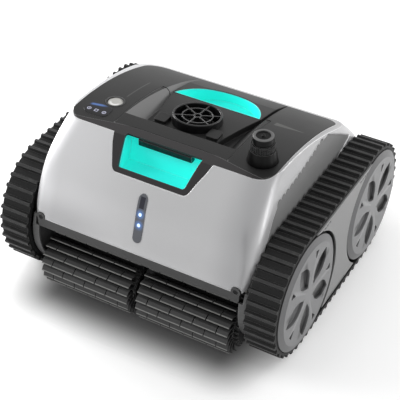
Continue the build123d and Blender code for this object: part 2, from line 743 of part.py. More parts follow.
def turned(face, y, z, x0, x1):
    """A face drawn round the origin made a wheel round the X direction at (y, z)."""
    return plate_x(Pos(y, z) * face, x0, x1)


# ---------------------------------------------------------------- wheels
HUB_IN = GEAR_X0
HUB_OUT = TRACK_OUT - 7
DRUM_IN, DRUM_OUT = TRACK_IN + 1, TRACK_OUT - 3
DRUM_WALL = 4.6
WEB_X0, WEB_X1 = 175.0, 179.0
CAP_FACE = TRACK_OUT + 4.6  # outermost plane of the hub cap
RING_WALL_R = 42.0
LEAF_DEEP = 4.6
BEVEL, BEVEL_DROP = 9.0, 3.6  # width and fall of the hub cap's bevelled rim


def make_wheel(y):
    """A drum on a web with six holes and a long hub tube."""
    drum = rod_x(WHEEL_R, DRUM_IN, DRUM_OUT, y, AXLE_Z)
    drum = drum - rod_x(WHEEL_R - DRUM_WALL, DRUM_IN - 1, DRUM_OUT + 1, y, AXLE_Z)
    web = rod_x(WHEEL_R - 2, WEB_X0, WEB_X1, y, AXLE_Z)
    for i in range(6):
        turn = radians(60 * i)
        web = web - rod_x(9, WEB_X0 - 1, WEB_X1 + 1, y + 58 * cos(turn), AXLE_Z + 58 * sin(turn))
    tube = rod_x(HUB_R, HUB_IN, HUB_OUT, y, AXLE_Z)
    bore = rod_x(BUSH_R + RUN_FIT, HUB_IN - 1, HUB_OUT + 1, y, AXLE_Z)
    return drum + web + tube - bore


def leaf(turn):
    """A leaf-shaped hollow of the hub cap, pointed at both ends."""
    inner, outer = (14, 0), (63, 5)
    ahead = Spline(inner, (36, 14.5), outer)
    behind = Spline(outer, (43, -11), inner)
    return Rot(0, 0, turn) * make_face(ahead + behind)


def slot(turn):
    """A small three-cornered slot between two leaves."""
    return Rot(0, 0, turn) * rounded(outline([(47, 0), (61, 5), (61, -5)]), 1.2)


def make_cap_disc(y):
    """The hub cap: a bevelled disc with five leaves and five slots, and a spigot behind."""
    back, brow = TRACK_OUT - 2.6, CAP_FACE - BEVEL_DROP
    rim_r = BELT_IN_R - 0.8
    disc = rod_x(rim_r, back, brow, y, AXLE_Z)
    bevel = Rot(0, 90, 0) * Cone(rim_r, rim_r - BEVEL, BEVEL_DROP)
    disc = disc + Pos((brow + CAP_FACE) / 2, y, AXLE_Z) * bevel
    leaves = [leaf(39.6 + 72 * i) for i in range(5)]
    slots = [slot(1 + 72 * i) for i in range(5)]
    hollow = Pos(y, AXLE_Z) * (Sketch() + leaves + slots)
    disc = disc - plate_x(hollow, CAP_FACE - LEAF_DEEP, CAP_FACE + 1)
    spigot = rod_x(WHEEL_R - DRUM_WALL, back - 6, back, y, AXLE_Z)
    spigot = spigot - rod_x(WHEEL_R - DRUM_WALL - 3, back - 7, back, y, AXLE_Z)
    return disc + spigot


front_y, rear_y = -WHEELBASE / 2, WHEELBASE / 2
right_front_wheel = make_wheel(front_y)
right_rear_wheel = make_wheel(rear_y)
left_front_wheel = flip_side(right_front_wheel)
left_rear_wheel = flip_side(right_rear_wheel)
right_front_hub_cap = make_cap_disc(front_y)
right_rear_hub_cap = make_cap_disc(rear_y)
left_front_hub_cap = flip_side(right_front_hub_cap)
left_rear_hub_cap = flip_side(right_rear_hub_cap)


def both_ways(shape):
    """The same part turned half round the vertical: the drive repeats that way."""
    return Rot(0, 0, 180) * shape


# ring gear in the right rear wheel, driven by a pinion nearer the middle of the machine
ring = ring_face(RING_MODULE, RING_TEETH, 180, RING_WALL_R)
right_rear_ring_gear = turned(ring, rear_y, AXLE_Z, RING_X0, WEB_X0)
left_front_ring_gear = both_ways(right_rear_ring_gear)
PINION_Y = rear_y - pinion_reach
PINION_SHAFT_R = 4.0
pinion = turned(gear_face(RING_MODULE, PINION_TEETH, 180), PINION_Y, AXLE_Z, RING_X0 + 0.5, RING_X1)
right_pinion = pinion + rod_x(PINION_SHAFT_R, 126, RING_X0 + 1, PINION_Y, AXLE_Z)
left_pinion = both_ways(right_pinion)

# spur gear on the right front wheel's hub tube, driving the front brush
mesh_turn = degrees(atan2(BRUSH_Z - AXLE_Z, -BRUSH_Y - front_y))
hub_gear = gear_face(BRUSH_MODULE, HUB_TEETH, mesh_turn) - Circle(HUB_R)
right_front_hub_gear = turned(hub_gear, front_y, AXLE_Z, GEAR_X0, GEAR_X1)
left_rear_hub_gear = both_ways(right_front_hub_gear)

# ---------------------------------------------------------------- brushes
CORE_X0, CORE_X1 = 5.2, BRUSH_HALF - 2
FIN_X0, FIN_X1 = 5.8, BRUSH_HALF - 3


def make_core():
    """The brush's two drums on one shaft, with its gear at the right-hand end."""
    core = rod_x(BRUSH_SHAFT_R, -FRAME_IN - 3, FRAME_IN + 3, -BRUSH_Y, BRUSH_Z)
    for side in (-1, 1):
        core = core + rod_x(BRUSH_DRUM_R, side * CORE_X0, side * CORE_X1, -BRUSH_Y, BRUSH_Z)
    half_tooth = 180 / BRUSH_TEETH
    face = gear_face(BRUSH_MODULE, BRUSH_TEETH, mesh_turn + 180 + half_tooth)
    return core + turned(face, -BRUSH_Y, BRUSH_Z, GEAR_X0, GEAR_X1)


def make_fins():
    """Rubber sleeves with rows of fins, each row slit into tabs."""
    rows = Circle(BRUSH_DRUM_R + 2.5)
    for i in range(FIN_ROWS):
        fin = Pos((BRUSH_DRUM_R + BRUSH_R) / 2, 0) * Rectangle(BRUSH_R - BRUSH_DRUM_R, FIN_THICK)
        rows = rows + Rot(0, 0, 360 * (i + 0.5) / FIN_ROWS) * fin
    rows = rows & Circle(BRUSH_R)
    rows = rows - Circle(BRUSH_DRUM_R)
    sleeve = turned(rows, -BRUSH_Y, BRUSH_Z, FIN_X0, FIN_X1)
    tab = (FIN_X1 - FIN_X0) / FIN_TABS
    for k in range(1, FIN_TABS):
        x = FIN_X0 + k * tab
        ring = rod_x(BRUSH_R + 1, x - SLIT / 2, x + SLIT / 2, -BRUSH_Y, BRUSH_Z)
        sleeve = sleeve - (ring - rod_x(BRUSH_DRUM_R + 5, x - 1, x + 1, -BRUSH_Y, BRUSH_Z))
    return Compound(children=[one_solid(sleeve), flip_side(one_solid(sleeve))])


front_brush_core = make_core()
rear_brush_core = both_ways(front_brush_core)
front_brush_fins = make_fins()
rear_brush_fins = both_ways(front_brush_fins)


def make_arm():
    """The arm that holds the middle of the front brush shaft."""
    points = [(-CHASSIS_END, 96), (-CHASSIS_END, 24), (-BRUSH_Y, 30), (-BRUSH_Y, 54)]
    web = plate_x(outline(points), -4, 4)
    eye = rod_x(13, -4, 4, -BRUSH_Y, BRUSH_Z)
    return web + eye - rod_x(BRUSH_SHAFT_R + RUN_FIT, -5, 5, -BRUSH_Y, BRUSH_Z)


brush_arm = make_arm()
brush_supports = Compound(children=[brush_arm, both_ways(brush_arm)])

# ---------------------------------------------------------------- side frames and covers
FRAME_TOP = SHELL_BASE_Z - 0.4
FRAME_LOW = 11.0
FENDER_TOP = BUMPER_LOW - 1
FENDER_IN = 147.5
FENDER_WALL = 3.0


def make_fender():
    """The curved flange round the end of a side frame, open where the brush shaft passes."""
    arc = Circle(FENDER_R) - Circle(FENDER_R - FENDER_WALL)
    arc = arc & Pos(-FENDER_R, (FENDER_TOP + FRAME_LOW) / 2 - AXLE_Z) * Rectangle(
        2 * FENDER_R - 40, FENDER_TOP - FRAME_LOW
    )
    arc = Pos(front_y, AXLE_Z) * arc - Pos(-BRUSH_Y, BRUSH_Z) * Circle(BRUSH_SHAFT_R + 1)
    return plate_x(arc, FENDER_IN, FRAME_IN + 1)


def make_frame():
    """The plate that carries both wheels and the brush ends on the right side."""
    plate = Pos(0, AXLE_Z) * SlotCenterToCenter(WHEELBASE, 2 * FENDER_R)
    plate = plate & Pos(0, (FRAME_TOP + FRAME_LOW) / 2) * Rectangle(400, FRAME_TOP - FRAME_LOW)
    for y in (front_y, rear_y):
        plate = plate - Pos(y, AXLE_Z) * Circle(HUB_R + 0.5)
    for y in (-BRUSH_Y, BRUSH_Y):
        plate = plate - Pos(y, BRUSH_Z) * Circle(BRUSH_SHAFT_R + RUN_FIT)
    plate = plate - Pos(PINION_Y, AXLE_Z) * Circle(PINION_SHAFT_R + RUN_FIT)
    frame = plate_x(plate, FRAME_IN, FRAME_IN + FRAME_THICK)
    for y, z in ((-30, 40), (30, 40), (-30, 104), (30, 104)):
        frame = frame + rod_x(6, CHASSIS_HALF, FRAME_IN, y, z)
    fender = make_fender()
    return frame + fender + mirror(fender, about=Plane.XZ)


right_side_frame = make_frame()
left_side_frame = both_ways(right_side_frame)
COVER_X0, COVER_X1 = TRACK_OUT + 0.4, TRACK_OUT + 2.8
COVER_LOW, COVER_HIGH = 21.0, 167.0
POST_HEIGHTS = (50.0, 123.0)


def make_cover():
    """The grey plate between the wheels, standing on two posts and a web."""
    face = Pos(0, (COVER_LOW + COVER_HIGH) / 2) * Rectangle(190, COVER_HIGH - COVER_LOW)
    face = face - [Pos(y, AXLE_Z) * Circle(BELT_R) for y in (front_y, rear_y)]
    face = face - Pos(-8, COVER_LOW + 2) * SlotOverall(56, 2.2)
    for side in (-1, 1):
        for i in range(5):
            face = face - Pos(side * (46 + 7 * i), COVER_HIGH - 5) * Rectangle(4.6, 2.4)
    cover = plate_x(face, COVER_X0, COVER_X1)
    cover = cover + block(FRAME_IN + FRAME_THICK, COVER_X0, -3, 3, 40, 133)
    for z in POST_HEIGHTS:
        cover = cover + rod_x(8, FRAME_IN + FRAME_THICK, COVER_X0, 0, z)
    return cover


right_side_cover = make_cover()
left_side_cover = flip_side(right_side_cover)


def make_screws():
    """The two round-headed screws of each bumper."""
    screws = []
    for out in (-1, 1):
        for side in (-1, 1):
            screws.append(screw_y(side * EAR[0], out * (BUMPER_OUT - 0.6), EAR[1], out))
    return Compound(children=screws)


body_screws = make_screws()

# ---------------------------------------------------------------- axles and bushes
AXLE_IN, AXLE_OUT = 124.0, HUB_OUT + 2.4
WASHER_R = 11.0


def four_corners(shape):
    """The same part at all four wheels, from the one at the right front."""
    right = [shape, mirror(shape, about=Plane.XZ)]
    return Compound(children=right + [flip_side(s) for s in right])


axle = rod_x(AXLE_R, AXLE_IN, AXLE_OUT, front_y, AXLE_Z)
axle = axle + rod_x(WASHER_R, HUB_OUT + 0.4, AXLE_OUT, front_y, AXLE_Z)
wheel_axles = four_corners(axle)
bush = rod_x(BUSH_R, HUB_IN + 0.5, HUB_OUT - 0.5, front_y, AXLE_Z)
bush = bush - rod_x(AXLE_R, HUB_IN, HUB_OUT, front_y, AXLE_Z)
wheel_bushes = four_corners(bush)

# ---------------------------------------------------------------- chassis tub
TUB_TOP = SHELL_BASE_Z - 3
FLANGE_HALF = 147.0
INLET_Y = OUTLET_Y
DUCT_WALL = 2.0
BATTERY = (-86, 86, 34, 100, CHASSIS_FLOOR + 3, 70)
CONTROL = (-66, 66, -101, -80, CHASSIS_FLOOR + 3, 92)


def make_chassis():
    """The tub with its flange, wheel bosses, suction mouths and the ducts above them."""
    half, end, wall = CHASSIS_HALF, CHASSIS_END, CHASSIS_WALL
    tub = block(-half, half, -end, end, CHASSIS_FLOOR, SHELL_BASE_Z)
    tub = tub - block(-half + wall, half - wall, -end + wall, end - wall, CHASSIS_FLOOR + 3, 130)
    flange = RectangleRounded(2 * FLANGE_HALF, 2 * BUMPER_IN, 34)
    flange = plate_z(flange, TUB_TOP, SHELL_BASE_Z)
    flange = flange - block(-half + wall, half - wall, -end + wall, end - wall, 100, 130)
    for side in (-1, 1):
        x0, x1 = sorted((side * half, side * 160))
        flange = flange - block(x0, x1, -FOOT_FROM, FOOT_FROM, 100, 130)
    tub = tub + flange
    for side in (-1, 1):
        for y in (front_y, rear_y):
            tub = tub + rod_x(10.5, side * AXLE_IN, side * half, y, AXLE_Z)
            tub = tub - rod_x(AXLE_R, side * AXLE_IN, side * half, y, AXLE_Z)
        shaft_y = side * PINION_Y
        tub = tub - rod_x(PINION_SHAFT_R + RUN_FIT, side * 130, side * half, shaft_y, AXLE_Z)
        x = side * INLET_X
        x0, x1 = x - INLET_WIDE / 2, x + INLET_WIDE / 2
        y0, y1 = INLET_Y - INLET_LONG / 2, INLET_Y + INLET_LONG / 2
        duct = block(x0 - 2, x1 + 2, y0 - 2, y1 + 2, CHASSIS_FLOOR, BASKET_FLOOR)
        mouth = block(x0 - 4, x1 + 4, y0 - 5, y1 + 5, CHASSIS_FLOOR - 3, CHASSIS_FLOOR)
        tub = tub + duct + mouth
        tub = tub - block(x0, x1, y0, y1, 0, BASKET_FLOOR + 1)
    return tub


chassis = make_chassis()
battery_pack = fillet(block(*BATTERY).edges(), 4)
control_box = fillet(block(*CONTROL).edges(), 3)

# ---------------------------------------------------------------- drive motors
MOTOR_R = 16.0


def make_drive_motor():
    """A can motor behind the right rear wheel, standing on a foot."""
    can = rod_x(MOTOR_R, 88, 136, PINION_Y, AXLE_Z)
    can = can + rod_x(7, 82, 88, PINION_Y, AXLE_Z)
    foot = block(96, 128, PINION_Y - 9, PINION_Y + 9, CHASSIS_FLOOR + 3, AXLE_Z - 8)
    return can + foot - rod_x(PINION_SHAFT_R + RUN_FIT, 125.5, 137, PINION_Y, AXLE_Z)


right_drive_motor = make_drive_motor()
left_drive_motor = both_ways(right_drive_motor)

# ---------------------------------------------------------------- pump in its tower
PUMP_X, PUMP_Y = 0.0, OUTLET_Y
INTAKE_LOW, INTAKE_HIGH = CHASSIS_FLOOR + 9, BASKET_FLOOR - 8
PUMP_MOTOR_R = 16.0
PUMP_LOW, PUMP_HIGH = 110.0, 168.0
IMPELLER_R = 21.5
IMPELLER_LOW, IMPELLER_HIGH = 172.0, 192.0
SHAFT_R = 3.0


def make_duct():
    """The upright tube from the tub's floor to the outlet, with slots to draw in water."""
    low = CHASSIS_FLOOR + 3
    tube = rod_z(TOWER_R, PUMP_X, PUMP_Y, low, TOWER_TOP)
    tube = tube - rod_z(TOWER_R - TOWER_WALL, PUMP_X, PUMP_Y, low + 2, TOWER_TOP + 1)
    for i in range(4):
        window = Pos(TOWER_R, 0, 0) * Box(20, 22, INTAKE_HIGH - INTAKE_LOW)
        tube = tube - Pos(PUMP_X, PUMP_Y, (INTAKE_LOW + INTAKE_HIGH) / 2) * Rot(0, 0, 90 * i) * window
    for i in range(3):
        for z in (PUMP_LOW + 8, PUMP_HIGH - 8):
            spoke = Pos((PUMP_MOTOR_R + TOWER_R) / 2, 0, 0) * Box(TOWER_R - PUMP_MOTOR_R - 0.4, 3, 6)
            tube = tube + Pos(PUMP_X, PUMP_Y, z) * Rot(0, 0, 120 * i) * spoke
    return tube - rod_z(PUMP_MOTOR_R, PUMP_X, PUMP_Y, PUMP_LOW, PUMP_HIGH)


def make_impeller():
    """A hub with five pitched blades that turns on the pump motor's shaft."""
    hub = rod_z(8, PUMP_X, PUMP_Y, IMPELLER_LOW, IMPELLER_HIGH)
    hub = fillet(hub.edges().sort_by(Axis.Z)[-1], 5)
    middle = (IMPELLER_LOW + IMPELLER_HIGH) / 2
    blade = Pos(IMPELLER_R / 2 + 3, 0, 0) * Rot(52, 0, 0) * Box(IMPELLER_R, 22, 1.8)
    reach = rod_z(IMPELLER_R, 0, 0, -7, 7)
    for i in range(5):
        placed = Pos(PUMP_X, PUMP_Y, middle) * Rot(0, 0, 72 * i) * (blade & reach)
        hub = hub + placed
    return hub - rod_z(SHAFT_R + RUN_FIT, PUMP_X, PUMP_Y, IMPELLER_LOW - 1, IMPELLER_HIGH - 6)


pump_duct = make_duct()
pump_motor = rod_z(PUMP_MOTOR_R, PUMP_X, PUMP_Y, PUMP_LOW, PUMP_HIGH)
pump_motor = chamfer(pump_motor.edges(), 2)
pump_motor = pump_motor + rod_z(SHAFT_R, PUMP_X, PUMP_Y, PUMP_HIGH - 1, IMPELLER_HIGH - 6.5)
impeller = make_impeller()

# ---------------------------------------------------------------- filter basket
BASKET_WALL = 2.4
WELL_R = TOWER_R + 1.0  # the well in the basket that goes over the tower
MESH = 0.8


def basket_ring(inset, z0, z1):
    """A solid of the basket's plan, drawn in by inset, less the well round the tower."""
    long = BASKET_REAR - BASKET_FRONT - 2 * inset
    face = RectangleRounded(2 * (BASKET_HALF - inset), long, 10)
    face = Pos(0, (BASKET_REAR + BASKET_FRONT) / 2) * face
    solid = plate_z(face, z0, z1)
    return solid - rod_z(WELL_R - inset, PUMP_X, PUMP_Y, z0 - 1, z1 + 1)


def make_basket():
    """The basket's frame and the mesh set in the windows of its walls."""
    well = rod_z(WELL_R + BASKET_WALL, PUMP_X, PUMP_Y, BASKET_FLOOR, BASKET_TOP)
    well = well - rod_z(WELL_R, PUMP_X, PUMP_Y, BASKET_FLOOR - 1, BASKET_TOP + 1)
    wall = basket_ring(0, BASKET_FLOOR, BASKET_TOP)
    room = basket_ring(BASKET_WALL, BASKET_FLOOR + BASKET_WALL, BASKET_TOP + 1)
    wall = wall - (room - rod_z(WELL_R + BASKET_WALL, PUMP_X, PUMP_Y, 50, 220))
    wall = wall + (well & basket_ring(0, BASKET_FLOOR, BASKET_TOP))
    for side in (-1, 1):
        x = side * INLET_X
        y0, y1 = INLET_Y - INLET_LONG / 2, INLET_Y + INLET_LONG / 2
        hole = block(x - INLET_WIDE / 2, x + INLET_WIDE / 2, y0, y1, 50, 70)
        wall = wall - hole
    windows = []
    for side in (-1, 1):
        for y in (-60, -40, -20, 0):
            x0, x1 = sorted((side * (BASKET_HALF - 6), side * (BASKET_HALF + 2)))
            windows.append(block(x0, x1, y - 8, y + 8, BASKET_FLOOR + 12, BASKET_TOP - 14))
    for x in (-51, -30.6, -10.2, 10.2, 30.6, 51):
        windows.append(block(x - 8, x + 8, BASKET_FRONT - 2, BASKET_FRONT + 6, 72, BASKET_TOP - 14))
        if abs(x) > 25:
            windows.append(block(x - 8, x + 8, BASKET_REAR - 6, BASKET_REAR + 2, 72, BASKET_TOP - 14))
    holes = windows[0]
    for w in windows[1:]:
        holes = holes + w
    skin = basket_ring(0.8, BASKET_FLOOR, BASKET_TOP) - basket_ring(0.8 + MESH, 50, 230)
    return wall - holes, skin & holes


filter_basket, filter_mesh = make_basket()

# ---------------------------------------------------------------- inlet flaps
FLAP_THICK = 2.0
FLAP_PIN_R = 1.2
FLAP_HINGE_X = INLET_X - INLET_WIDE / 2 - 1.5
FLAP_LOW = BASKET_FLOOR + BASKET_WALL + CLEAR
FLAP_PIN_Z = FLAP_LOW + FLAP_PIN_R
FLAP_EAR = 2.4  # thickness of each ear and radius of its round top
FLAP_EAR_Y = INLET_LONG / 2 + 3.9


def make_flap():
    """A flap lying over the right-hand suction mouth, hinged at its inner edge."""
    y0, y1 = INLET_Y - INLET_LONG / 2 - 1.5, INLET_Y + INLET_LONG / 2 + 1.5
    x1 = INLET_X + INLET_WIDE / 2 + 2
    flap = block(FLAP_HINGE_X, x1, y0, y1, FLAP_LOW, FLAP_LOW + FLAP_THICK)
    return flap + rod_y(FLAP_PIN_R, FLAP_HINGE_X, y0 - 3, y1 + 3, FLAP_PIN_Z)


right_inlet_flap = make_flap()
left_inlet_flap = flip_side(right_inlet_flap)


def make_flap_ears(side):
    """The two ears on the basket's floor that hold one flap's pin."""
    x, half = side * FLAP_HINGE_X, FLAP_EAR / 2
    ears = []
    for y in (INLET_Y - FLAP_EAR_Y, INLET_Y + FLAP_EAR_Y):
        foot = block(x - FLAP_EAR, x + FLAP_EAR, y - half, y + half, BASKET_FLOOR + 1, FLAP_PIN_Z)
        ears.append(rod_y(FLAP_EAR, x, y - half, y + half, FLAP_PIN_Z) + foot)
    pin = rod_y(FLAP_PIN_R + RUN_FIT, x, INLET_Y - FLAP_EAR_Y - 2, INLET_Y + FLAP_EAR_Y + 2, FLAP_PIN_Z)
    return ears[0] + ears[1], pin


for side in (-1, 1):
    ears, pin = make_flap_ears(side)
    filter_basket = filter_basket + ears - pin


def basket_mouldings(basket):
    """The basket as it is welded up: the floor with its ears, the well and four window walls."""
    top, side, end = BASKET_FLOOR + BASKET_WALL, BASKET_HALF - 10, 10
    reach, high = BASKET_HALF + 1, BASKET_TOP + 1
    well = rod_z(WELL_R + BASKET_WALL, PUMP_X, PUMP_Y, top, high)
    inside = BASKET_WALL + 0.2
    inner = block(
        -BASKET_HALF + inside,
        BASKET_HALF - inside,
        BASKET_FRONT + inside,
        BASKET_REAR - inside,
        top,
        FLAP_PIN_Z + 5,
    )
    floor = block(-reach, reach, BASKET_FRONT - 1, BASKET_REAR + 1, BASKET_FLOOR - 1, top)
    zones = [
        floor + (inner - well),
        well,
        block(-side, side, BASKET_FRONT - 1, BASKET_FRONT + end, top, high),
        block(-side, side, BASKET_REAR - BASKET_WALL, BASKET_REAR + 1, top, high),
        block(side, reach, BASKET_FRONT - 1, BASKET_REAR + 1, top, high),
        block(-reach, -side, BASKET_FRONT - 1, BASKET_REAR + 1, top, high),
    ]
    return Compound(children=[one_solid(basket & zone) for zone in zones])


filter_basket = basket_mouldings(filter_basket)

# ---------------------------------------------------------------- write every node
PARTS = {
    "chassis": chassis,
    "front_bumper": front_bumper,
    "rear_bumper": rear_bumper,
    "body_screws": body_screws,
    "shell": shell,
    "left_side_panel": left_side_panel,
    "right_side_panel": right_side_panel,
    "deck": deck,
    "hinge_pins": hinge_pins,
    "grip_bezel": grip_bezel,
    "front_grip_pocket": front_grip_pocket,
    "rear_grip_pocket": rear_grip_pocket,
    "light_bar": light_bar,
    "light_lenses": light_lenses,
    "icon_pad": icon_pad,
    "button_bezel": button_bezel,
    "power_button": power_button,
    "charge_socket": charge_socket,
    "charge_cap": charge_cap,
    "lid": lid,
    "lid_latch": lid_latch,
    "outlet_grille": outlet_grille,
    "left_side_frame": left_side_frame,
    "right_side_frame": right_side_frame,
    "left_side_cover": left_side_cover,
    "right_side_cover": right_side_cover,
    "left_track": left_track,
    "right_track": right_track,
    "wheel_axles": wheel_axles,
    "wheel_bushes": wheel_bushes,
    "left_front_wheel": left_front_wheel,
    "right_front_wheel": right_front_wheel,
    "left_rear_wheel": left_rear_wheel,
    "right_rear_wheel": right_rear_wheel,
    "left_front_hub_cap": left_front_hub_cap,
    "right_front_hub_cap": right_front_hub_cap,
    "left_rear_hub_cap": left_rear_hub_cap,
    "right_rear_hub_cap": right_rear_hub_cap,
    "left_front_ring_gear": left_front_ring_gear,
    "right_rear_ring_gear": right_rear_ring_gear,
    "left_pinion": left_pinion,
    "right_pinion": right_pinion,
    "right_front_hub_gear": right_front_hub_gear,
    "left_rear_hub_gear": left_rear_hub_gear,
    "front_brush_core": front_brush_core,
    "rear_brush_core": rear_brush_core,
    "front_brush_fins": front_brush_fins,
    "rear_brush_fins": rear_brush_fins,
    "brush_supports": brush_supports,
    "battery_pack": battery_pack,
    "control_box": control_box,
    "left_drive_motor": left_drive_motor,
    "right_drive_motor": right_drive_motor,
    "pump_duct": pump_duct,
    "pump_motor": pump_motor,
    "impeller": impeller,
    "filter_basket": filter_basket,
    "filter_mesh": filter_mesh,
    "left_inlet_flap": left_inlet_flap,
    "right_inlet_flap": right_inlet_flap,
}
for name, shape in PARTS.items():
    write(name, shape)
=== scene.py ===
import math

import bmesh
import bpy
from mathutils import Matrix, Vector


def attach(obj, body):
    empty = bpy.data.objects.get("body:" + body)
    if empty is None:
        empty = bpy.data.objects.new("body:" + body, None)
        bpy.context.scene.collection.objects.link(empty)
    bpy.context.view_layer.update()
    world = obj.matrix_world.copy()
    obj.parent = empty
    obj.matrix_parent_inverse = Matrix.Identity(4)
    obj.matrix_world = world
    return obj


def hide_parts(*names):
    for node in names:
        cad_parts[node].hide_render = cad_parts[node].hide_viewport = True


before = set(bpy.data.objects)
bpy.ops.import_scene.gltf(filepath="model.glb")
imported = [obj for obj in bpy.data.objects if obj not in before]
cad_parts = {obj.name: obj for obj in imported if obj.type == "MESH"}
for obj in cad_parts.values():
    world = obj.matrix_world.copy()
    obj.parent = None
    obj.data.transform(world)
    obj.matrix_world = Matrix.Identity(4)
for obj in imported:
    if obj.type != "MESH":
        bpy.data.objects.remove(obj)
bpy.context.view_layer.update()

# ------------------------------------------------------------------ the view
# A camera with a long lens looks down on the front right corner, so that the front, the top
# and the right side of the machine all show.
azimuth, elevation = math.radians(29.86), math.radians(38.74)
EYE = (0.62591, -1.10063, 1.09911)
LENS_MM = 107.385
back = Vector((
    math.sin(azimuth) * math.cos(elevation),
    -math.cos(azimuth) * math.cos(elevation),
    math.sin(elevation),
))
right = Vector((math.cos(azimuth), math.sin(azimuth), 0))
turn = Matrix((right, back.cross(right), back)).transposed().to_4x4()
camera = bpy.data.objects.new("camera", bpy.data.cameras.new("camera"))
bpy.context.scene.collection.objects.link(camera)
camera.data.lens = LENS_MM
camera.data.clip_start = 0.01
camera.matrix_world = Matrix.Translation(EYE) @ turn
bpy.context.scene.camera = camera
bpy.context.scene.view_settings.view_transform = "Standard"


# ------------------------------------------------------------------ chassis tub
# The tub under the covers holds everything: one deep moulding in black glass-filled
# polypropylene, with the arms that carry the middle of each brush screwed to its ends.
class Link:
    """An output of a maker's nodes that can be used in sums. Places are in millimetres."""

    def __init__(self, maker, socket):
        self.maker = maker
        self.socket = socket

    def math(self, operation, *others):
        values = dict(enumerate((self, *others)))
        return self.maker.node("Math", values, operation=operation)

    def __add__(self, other):
        return self.math("ADD", other)

    def __sub__(self, other):
        return self.math("SUBTRACT", other)

    def __mul__(self, other):
        return self.math("MULTIPLY", other)

    def __truediv__(self, other):
        return self.math("DIVIDE", other)

    __radd__, __rmul__ = __add__, __mul__

    def __rsub__(self, other):
        return self.maker.node("Math", {0: other, 1: self}, operation="SUBTRACT")

    def __abs__(self):
        return self.math("ABSOLUTE")

    def floor_at(self, other):
        return self.math("MAXIMUM", other)

    def cap_at(self, other):
        return self.math("MINIMUM", other)

    def root(self):
        return self.math("SQRT")

    def rise(self, low, high):
        """0 below low, 1 above high, smooth between them."""
        sockets = {0: self, 1: low, 2: high}
        return self.maker.node("MapRange", sockets, interpolation_type="SMOOTHSTEP")

    def fall(self, low, high):
        """1 below low, 0 above high, smooth between them."""
        return 1 - self.rise(low, high)


class Maker:
    """A node tree in the making."""

    families = ("ShaderNode",)

    def __init__(self, tree):
        self.tree = tree

    def node(self, kind, inputs, output=0, **settings):
        """Adds a node, sets what it is told, fills its sockets and returns one output."""
        kinds = (family + kind for family in self.families)
        node = self.tree.nodes.new(next(name for name in kinds if hasattr(bpy.types, name)))
        for setting, value in settings.items():
            setattr(node, setting, value)
        for socket, value in inputs.items():
            links = value if isinstance(value, list) else [value]
            if isinstance(links[0], Link):
                for link in links:
                    self.join(link, node.inputs[socket])
            else:
                node.inputs[socket].default_value = value
        return Link(self, node.outputs[output])

    def join(self, link, socket):
        self.tree.links.new(link.socket, socket)


class Finish(Maker):
    """A procedural finish: a Principled shader and the nodes that feed it."""

    def __init__(self, name, colour, roughness=0.5, metallic=0.0, **fixed):
        self.material = bpy.data.materials.new(name)
        self.material.use_nodes = True
        super().__init__(self.material.node_tree)
        self.shader = self.tree.nodes["Principled BSDF"]
        fixed.update(Roughness=roughness, Metallic=metallic)
        for socket, value in fixed.items():
            self.shader.inputs[socket.replace("_", " ")].default_value = value
        self.place = self.node("TexCoord", {}, output="Object")
        self.x, self.y, self.z = (
            self.node("SeparateXYZ", {0: self.place}, output=i) * 1000 for i in range(3)
        )
        self.colour, self.rough = colour, roughness

    def feed(self, socket, link):
        self.join(link, self.shader.inputs[socket])

    def glow(self, link, strength):
        """Gives off light of the colour linked."""
        self.feed("Emission Color", link)
        self.shader.inputs["Emission Strength"].default_value = strength

    def noise(self, scale, detail=3.0, stretch=(1, 1, 1)):
        """A noise from 0 to 1; scale is in cells to the metre."""
        place = self.node("Mapping", {0: self.place, 3: stretch})
        return self.node("TexNoise", {"Vector": place, "Scale": scale, "Detail": detail})

    def mix(self, factor, a, b):
        """A colour between a and b by factor."""
        a, b = ((*c, 1) if isinstance(c, tuple) else c for c in (a, b))
        return self.node("Mix", {0: factor, 6: a, 7: b}, output=2, data_type="RGBA")

    def paint(self, mask, colour):
        """Lays a colour where the mask is 1, over what is there."""
        self.colour = self.mix(mask, self.colour, colour)
        self.feed("Base Color", self.colour)

    def polish(self, mask, roughness):
        """Gives the roughness named where the mask is 1."""
        self.rough = self.rough + mask * (roughness - self.rough)
        self.feed("Roughness", self.rough)

    def away(self, **spot):
        """How far a place is from a point, or from a line along the axis that isn't named."""
        gaps = [getattr(self, axis) - value for axis, value in spot.items()]
        return sum((gap * gap for gap in gaps[1:]), gaps[0] * gaps[0]).root()

    def soften(self, height, depth, edge, glint, glint_colour=(0.62, 0.62, 0.62)):
        """Bumps from a height field over edges rounded by a radius, painted paler by glint as a highlight.
        """
        bent = self.node("Bevel", {"Radius": edge}, samples=6)
        plain = self.node("NewGeometry", {}, output="Normal")
        turned = self.node("VectorMath", {0: bent, 1: plain}, output=1, operation="DOT_PRODUCT")
        self.edges = turned.fall(0.8, 0.995)
        # Painted highlight: the rounded edges are painted paler by glint.
        if glint:
            self.paint(self.edges * glint, glint_colour)
        sockets = {"Height": height, "Distance": depth, "Normal": bent}
        self.feed("Normal", self.node("Bump", sockets))


def tone(red, green, blue):
    """A colour given as it looks on a screen, turned into light."""
    return tuple(((c / 255 + 0.055) / 1.055) ** 2.4 if c > 10 else c / 3294 for c in (red, green, blue))


def moulded(
    name, colour, roughness, grain=1300.0, depth=0.00002, edge=0.0009, glint=0.2, vary=0.07, **fixed
):
    """Moulded plastic or paint: fine grain, faint flow clouds, and edges painted paler as a highlight."""
    finish = Finish(name, colour, roughness, **fixed)
    clouds = finish.noise(9.0, 4.0)
    fine = finish.noise(grain, 2.0)
    shade = (clouds * 0.6 + fine * 0.4).rise(0.3, 0.7)
    light, dark = (tuple(c * k for c in colour) for k in (1 + vary, 1 - vary))
    finish.paint(shade, light)
    finish.paint((1 - shade) * 0.5, dark)
    finish.polish(clouds.rise(0.35, 0.65), roughness * 1.12)
    finish.soften(fine, depth, edge, glint)
    return finish


